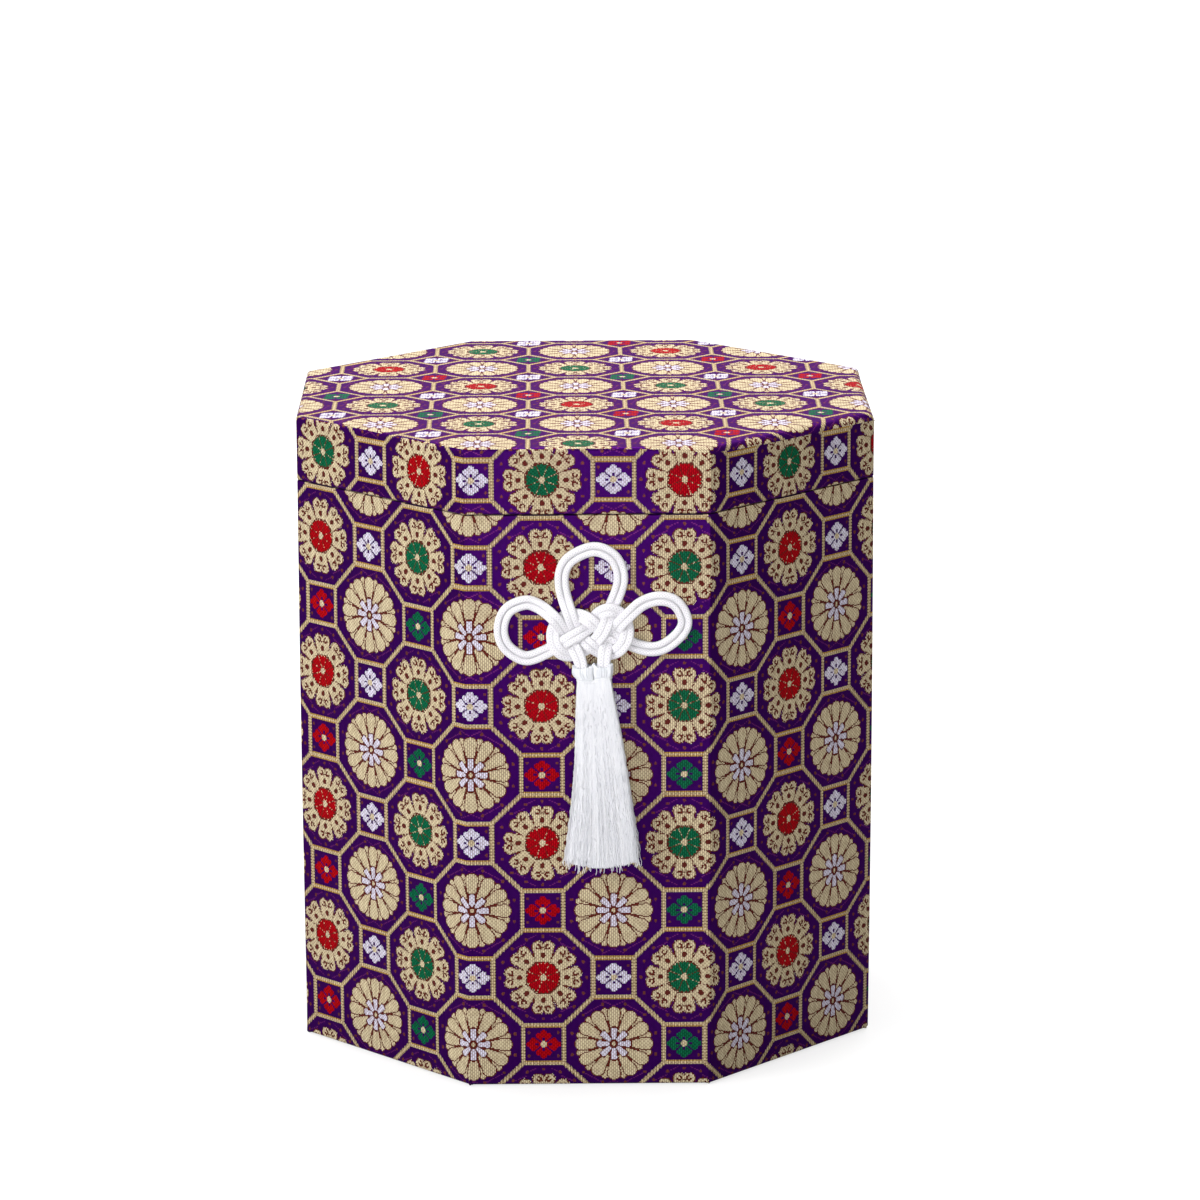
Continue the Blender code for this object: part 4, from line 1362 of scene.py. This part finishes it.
def make_head(side, sign):
    """A cuff of silk strands, drawn in at the neck, that end in an uneven rim round the mouth."""
    chance = np.random.default_rng(RANDOM_SEED + sign)
    (neck_x, neck_half), (mouth_x, mouth_half) = HEAD_SPAN[side]
    tall = HEAD_TOP[side] - HEAD_FOOT[side]
    waves = [(n, size, chance.uniform(0, math.tau)) for n, size in HEAD_DENTS]

    def cuff_ring(turn, up, spread, size, rise=0.0):
        rim = 0
        for at, high, wide in HEAD_PEAKS[side]:
            rim = rim + high * np.exp(-((np.angle(np.exp(1j * (turn - at))) / wide) ** 2))
        dents = sum(size * np.cos(n * turn + start) for n, size, start in waves)
        across, along = boxed(turn, HEAD_SQUARENESS)
        half = (neck_half + (mouth_half - neck_half) * spread) * size
        bulge = math.sin(min(up * 1.3, 1) * math.pi * 0.6)
        deep = (NECK_RADIUS + (HEAD_HALF_DEPTH - NECK_RADIUS) * bulge) * size
        soft = DENT_DEPTH * dents * math.sin(min(up, 1) * math.pi)
        x = neck_x + (mouth_x - neck_x) * spread + (half + soft) * across
        y = HEAD_Y + (deep + soft) * along
        z = HEAD_FOOT[side] + tall * up + (rim + rise) * np.clip(up * 1.25 - 0.25, 0, 1) ** 2
        return np.stack([x, y, z], axis=-1)

    turn = np.arange(HEAD_COLUMNS) / HEAD_COLUMNS * math.tau
    rows = HEAD_OUTSIDE + HEAD_INSIDE
    rings = [cuff_ring(turn, up, spread, size * CORE_SHARE) for up, spread, size in rows]
    core = lofted(f"head_{side}", np.array(rings)[::-1], HEAD_SILK)
    rows = HEAD_OUTSIDE[1:] + HEAD_INSIDE[:2]
    lines = []
    for k in range(HEAD_STRANDS):
        angle = (k + chance.uniform(-0.4, 0.4)) / HEAD_STRANDS * math.tau
        rise = chance.normal(0, 0.0003)
        lean = chance.normal(0, 0.04)
        path = [cuff_ring(angle + lean * up, up, spread, size, rise) for up, spread, size in rows]
        thick = np.ones(len(path)) * chance.uniform(0.8, 1.2)
        lines.append((np.array(path), thick, chance.uniform(0, 1)))
    strands = tubes_mesh(f"head_strands_{side}", lines, STRAND_RADIUS, 4, HEAD_SILK, facing=(0.0, -1.0, 0.1))
    return piece_of(f"tassel_head_cuff_{side}", strands, core)


BINDING_TURNS = 3
BINDING_THREAD = 0.00013
BINDING_STEPS = 36


def make_binding(side):
    """Turns of thread wound round the neck."""
    turn = np.linspace(0, BINDING_TURNS * math.tau, BINDING_TURNS * BINDING_STEPS)
    across, along = boxed(turn, HEAD_SQUARENESS)
    middle, half = HEAD_SPAN[side][0]
    x = middle + (half + BINDING_THREAD) * across
    y = HEAD_Y + (NECK_RADIUS + 0.0002 + BINDING_THREAD) * along
    z = HEAD_FOOT[side] + 0.0001 + turn / math.tau * BINDING_THREAD * 1.9
    thread = (np.column_stack([x, y, z]), np.ones(len(turn)), 0.1)
    mesh = tubes_mesh(f"binding_{side}", [thread], BINDING_THREAD, 8, HEAD_SILK, facing=(0.0, 0.0, 1.0))
    return piece_of(f"tassel_binding_thread_{side}", mesh)


# The skirts' outer edges and the line between them, as height over x, from the photograph's front view
SKIRT_HEIGHTS = (0.1752, 0.1702, 0.1577, 0.1500, 0.1409, 0.1240, 0.1070, 0.0950)
SKIRT_LEFT_EDGE = (-0.0043, -0.0047, -0.0050, -0.0051, -0.0053, -0.0065, -0.0084, -0.0102)
SKIRT_RIGHT_EDGE = (0.0093, 0.0099, 0.0121, 0.0135, 0.0149, 0.0172, 0.0193, 0.0203)
SKIRT_MIDDLE = (0.0024, 0.0026, 0.0030, 0.0033, 0.0037, 0.0045, 0.0052, 0.0056)
SKIRT_HALF_DEPTH = (0.0026, 0.0032, 0.0035, 0.0037, 0.0041, 0.0044, 0.0046, 0.0048)
SKIRT_BACK = 0.0008
SKIRT_SQUARENESS = 0.4
SKIRT_END = 0.0966
# Above its cuff's foot a skirt draws in, so that it keeps clear of the cuff when it sways
TUCK_START, TUCK_HEIGHT = -0.0003, 0.0011
TUCK_NARROWING, TUCK_THINNING = 0.4, 0.1
TUCK_ROWS = (0.0010, 0.0005, 0.0001, -0.0003)
SKIRT_OVERLAP = 0.0006  # the two skirts' strands mingle where they meet
SKIRT_CENTRE, SKIRT_REACH = 0.0052, 0.0155
SKIRT_ROUNDING = {"outer": 5, "inner": 16}  # the side that lies against the other skirt is square
SKIRT_FALL_TOP, SKIRT_FALL = 0.1745, 0.0785  # where the skirt starts to fall back to the wall, and how far
STRANDS = 520
STRAY_STRANDS = 60
STRAND_STEPS = 46
OUTSIDE_STRANDS, FRONT_STRANDS = 0.75, 0.75  # shares of the strands that lie on the skirt's skin and in front
STRAND_LENGTH = 0.078
# Slow and quick waves of the strands: sideways reach, and the least and most turns down a strand
SLOW_WAVE = (0.0005, 0.3, 1.0)
QUICK_WAVE = (0.00017, 9.0, 15.0)
# The skirt's core, row by row: heights over the cuff's foot, then heights over the floor
CORE_TOPS = (0.0008, 0.0005, 0, -0.0006)
CORE_HEIGHTS = (0.1700, 0.1650, 0.1580, 0.1500, 0.1400, 0.1300, 0.1200, 0.1100, 0.1030, 0.1015)
CORE_COLUMNS, CORE_RIDGES = 72, 24


def skirt_section(side, height):
    """Middle x and y, half width and half depth of a skirt at a height."""
    def at(row):
        return np.interp(-np.asarray(height), -np.array(SKIRT_HEIGHTS), row)

    low, high = at(SKIRT_LEFT_EDGE), at(SKIRT_MIDDLE) + SKIRT_OVERLAP
    if side == "right":
        low, high = at(SKIRT_MIDDLE) - SKIRT_OVERLAP, at(SKIRT_RIGHT_EDGE)
    depth = at(SKIRT_HALF_DEPTH)
    fall = np.clip((SKIRT_FALL_TOP - height) / SKIRT_FALL, 0, 1)
    y = HEAD_Y + (-(CLOTH_OUT + SKIRT_BACK) - depth - HEAD_Y) * np.clip(fall * 1.6, 0, 1)
    tuck = np.clip((height - HEAD_FOOT[side] - TUCK_START) / TUCK_HEIGHT, 0, 1)
    middle = (low + high) / 2
    middle += (HEAD_SPAN[side][0][0] - middle) * tuck
    return middle, y, (high - low) / 2 * (1 - TUCK_NARROWING * tuck), depth * (1 - TUCK_THINNING * tuck)


def skirt_depth(across, sign):
    """How far out the skirt's front lies, as a share, for a place across it from -1 to 1."""
    power = np.where(across * sign > 0, SKIRT_ROUNDING["outer"], SKIRT_ROUNDING["inner"])
    return (1 - np.abs(across) ** power) ** (1 / power)


def strand_wave(chance, fall, wave):
    reach, fewest, most_turns = wave
    return reach * np.sin(fall * chance.uniform(fewest, most_turns) * math.tau + chance.uniform(0, math.tau))


def make_skirt(side, sign):
    """Loose strands, a few of them stray, over a ridged core."""
    chance = np.random.default_rng(RANDOM_SEED * 10 + sign)
    foot = HEAD_FOOT[side]
    end_x, _, end_wide, _ = skirt_section(side, SKIRT_END)
    lines = []
    for k in range(STRANDS + STRAY_STRANDS):
        stray = k >= STRANDS
        share = 1.0 if k < STRANDS * OUTSIDE_STRANDS or stray else chance.uniform(0.5, 0.95)
        front = -1 if chance.uniform() < FRONT_STRANDS else 1
        start = chance.uniform(-1, 1)
        if stray and k % 2:
            start = sign * chance.uniform(0.8, 1)
        off_centre = (end_x + end_wide * start - SKIRT_CENTRE) / SKIRT_REACH
        end = SKIRT_END + 0.0030 * off_centre**2 + abs(chance.normal(0, 0.0011))
        end -= 0.0032 * stray * chance.uniform()
        heights = np.concatenate([foot + np.array(TUCK_ROWS), np.linspace(foot - 0.0012, end, STRAND_STEPS)])
        x, y, wide, deep = skirt_section(side, heights)
        fall = np.clip(foot - heights, 0, None) / STRAND_LENGTH
        sway = strand_wave(chance, fall, SLOW_WAVE) * fall
        sway += strand_wave(chance, fall, QUICK_WAVE) * np.clip(fall * 6, 0, 1) * (1 + stray * 0.6)
        sway += stray * chance.normal(0, 0.0006) * fall**2
        across = np.clip(start + chance.normal(0, 0.05) * fall, -1, 1)
        along = front * skirt_depth(across, sign)
        px = x + wide * share * across + sway
        py = y + deep * share * along + (0.4 + stray) * sway * chance.uniform(-1, 1)
        py = np.minimum(py, -(CLOTH_OUT + 0.0005))
        thick = np.ones(len(heights))
        thick[-1] = 0.55
        thick = thick * chance.uniform(0.8, 1.15)
        lines.append((np.column_stack([px, py, heights]), thick, chance.uniform(0, 1)))
    strands = tubes_mesh(f"skirt_{side}", lines, STRAND_RADIUS, 3, SILK)
    angle = np.arange(CORE_COLUMNS) / CORE_COLUMNS * math.tau
    rings = []
    heights = [foot + up for up in CORE_TOPS] + list(CORE_HEIGHTS)
    for height in heights:
        x, y, wide, deep = skirt_section(side, height)
        fit = CORE_SHARE + 0.015 * np.cos(angle * CORE_RIDGES)
        if height in (heights[0], heights[-1]):
            fit = fit * 0.6
        across, along = boxed(angle, SKIRT_SQUARENESS)
        along = np.sign(along) * skirt_depth(across, sign)
        row = [x + wide * fit * across, y + deep * fit * along, np.full(CORE_COLUMNS, height)]
        rings.append(np.column_stack(row))
    core = lofted(f"core_{side}", np.array(rings), SILK, 0.4)
    return piece_of(f"tassel_skirt_strands_{side}", strands, core)


def make_tassel():
    for sign, side in ((-1, "left"), (1, "right")):
        belongs(make_head(side, sign), "tassel_heads", f"tassel_head_{side}")
        belongs(make_binding(side), "tassel_heads", f"tassel_binding_{side}")
        belongs(make_skirt(side, sign), f"skirt_{side}", f"tassel_skirt_{side}")


# ---------------------------------------------------------------- boards that keep their CAD form


def dress_boards():
    finishes = {
        "base_board": LEVEL_WOOD,
        "lid_top_board": LEVEL_WOOD,
        "side_board": UPRIGHT_WOOD,
        "lid_side_board": UPRIGHT_WOOD,
        "collar_board": COLLAR_WOOD,
    }
    for name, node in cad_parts.items():
        for stem, finish in finishes.items():
            if name.startswith(stem):
                node.data.materials.clear()
                node.data.materials.append(finish)


# ---------------------------------------------------------------- stage, lamps and camera

FLOOR_REACH = 6.0
FLOOR_GREY = (0.29, 0.29, 0.29, 1)
# Where the camera sees it the floor glows: white away from the box, and less near it, so its shadow shows
SHADOW_REACH, SHADOW_FADE, SHADOW_GLOW = 0.3, 0.9, 0.68
WHITE = (1, 1, 1, 1)
ROOM_LIGHT = 0.31
ROOM_IN_GLOSS = 0.39
RAY_KINDS = ("Camera", "Transmission", "Glossy")


def make_floor():
    reach = FLOOR_REACH
    corners = [(-reach, -reach, 0), (reach, -reach, 0), (reach, reach, 0), (-reach, reach, 0)]
    floor = bpy.data.meshes.new("floor")
    floor.from_pydata(corners, [], [(0, 1, 2, 3)])
    material, tree, finish = new_material("pale_floor")
    finish.inputs["Base Color"].default_value = FLOOR_GREY
    finish.inputs["Roughness"].default_value = 0.9
    finish.inputs["Emission Color"].default_value = WHITE
    rays = tree.nodes.new("ShaderNodeLightPath").outputs
    seen = Term(tree, rays["Is Camera Ray"])
    seen_through = most(seen, Term(tree, rays["Is Transmission Ray"]))
    x, y, _ = parted(tree, object_coordinates(tree))
    away = most(least((length(x, y) - SHADOW_REACH) / SHADOW_FADE, 1.0), 0.0)
    glow = seen * (1.0 - away) * SHADOW_GLOW + seen_through * away
    plug(tree, finish.inputs["Emission Strength"], glow)
    floor.materials.append(material)
    placed("floor", floor)


def make_world():
    world = bpy.data.worlds.new("studio")
    bpy.context.scene.world = world
    world.use_nodes = True
    tree = world.node_tree
    shade = tree.nodes["Background"]
    rays = tree.nodes.new("ShaderNodeLightPath").outputs
    seen, seen_through, in_gloss = (Term(tree, rays[f"Is {kind} Ray"]) for kind in RAY_KINDS)
    shown = most(seen, seen_through, in_gloss * ROOM_IN_GLOSS)
    shade.inputs["Color"].default_value = WHITE
    plug(tree, shade.inputs["Strength"], ROOM_LIGHT + shown * (1 - ROOM_LIGHT))


def make_lamp(name, at, aim, size, power, spread=math.pi):
    data = bpy.data.lights.new(name, "AREA")
    data.shape = "RECTANGLE"
    data.size, data.size_y = size
    data.energy = power
    data.spread = spread
    lamp = placed(name, data)
    lamp.visible_camera = False
    lamp.location = at
    lamp.rotation_euler = (Vector(aim) - Vector(at)).to_track_quat("-Z", "Y").to_euler()


def make_camera():
    data = bpy.data.cameras.new("camera")
    data.sensor_width = 36
    data.lens = LENS
    data.clip_start = 0.01
    camera = placed("camera", data)
    turn = Matrix((CAMERA_RIGHT, CAMERA_UP, tuple(-c for c in CAMERA_FORWARD))).transposed()
    camera.matrix_world = Matrix.Translation(CAMERA_AT) @ turn.to_4x4()
    bpy.context.scene.camera = camera


make_camera()
make_floor()
make_world()
make_lamp("overhead", (0.0, 0.3, 1.5), (0, 0, 0.15), (1.4, 1.4), 42)
make_lamp("left", (-1.5, -1.0, 1.0), (0, 0, 0.12), (0.9, 0.9), 30)
make_lamp("low_front", (0.0, -1.6, 0.26), (0, 0, 0.26), (0.9, 0.24), 0.95, spread=math.radians(45))
make_lamp("low_corner", (-1.1, -1.2, 0.2), (0, 0, 0.12), (0.35, 0.3), 1.0)

make_body_cloth()
make_lid_band_cloth()
make_lid_top_cloth()
make_wadding()
for row in (
    ("base_cover_paper", BASE_PAPER_OUT, 0.0, CLOTH, "base_paper", "box", "stretched"),
    ("floor_lining_paper", FLOOR_LINING_OUT, WALL_BOTTOM, FLOOR_LINING, "floor_lining", "box", "laid"),
    ("lid_lining_paper", LID_LINING_OUT, LID_WALL_TOP - LINING, LINING, "lid_lining", "lid", "stretched"),
):
    make_plate_sheet(*row)
make_wall_lining()
make_knot()
make_tassel()
dress_boards()

bpy.context.scene.view_settings.view_transform = "Standard"
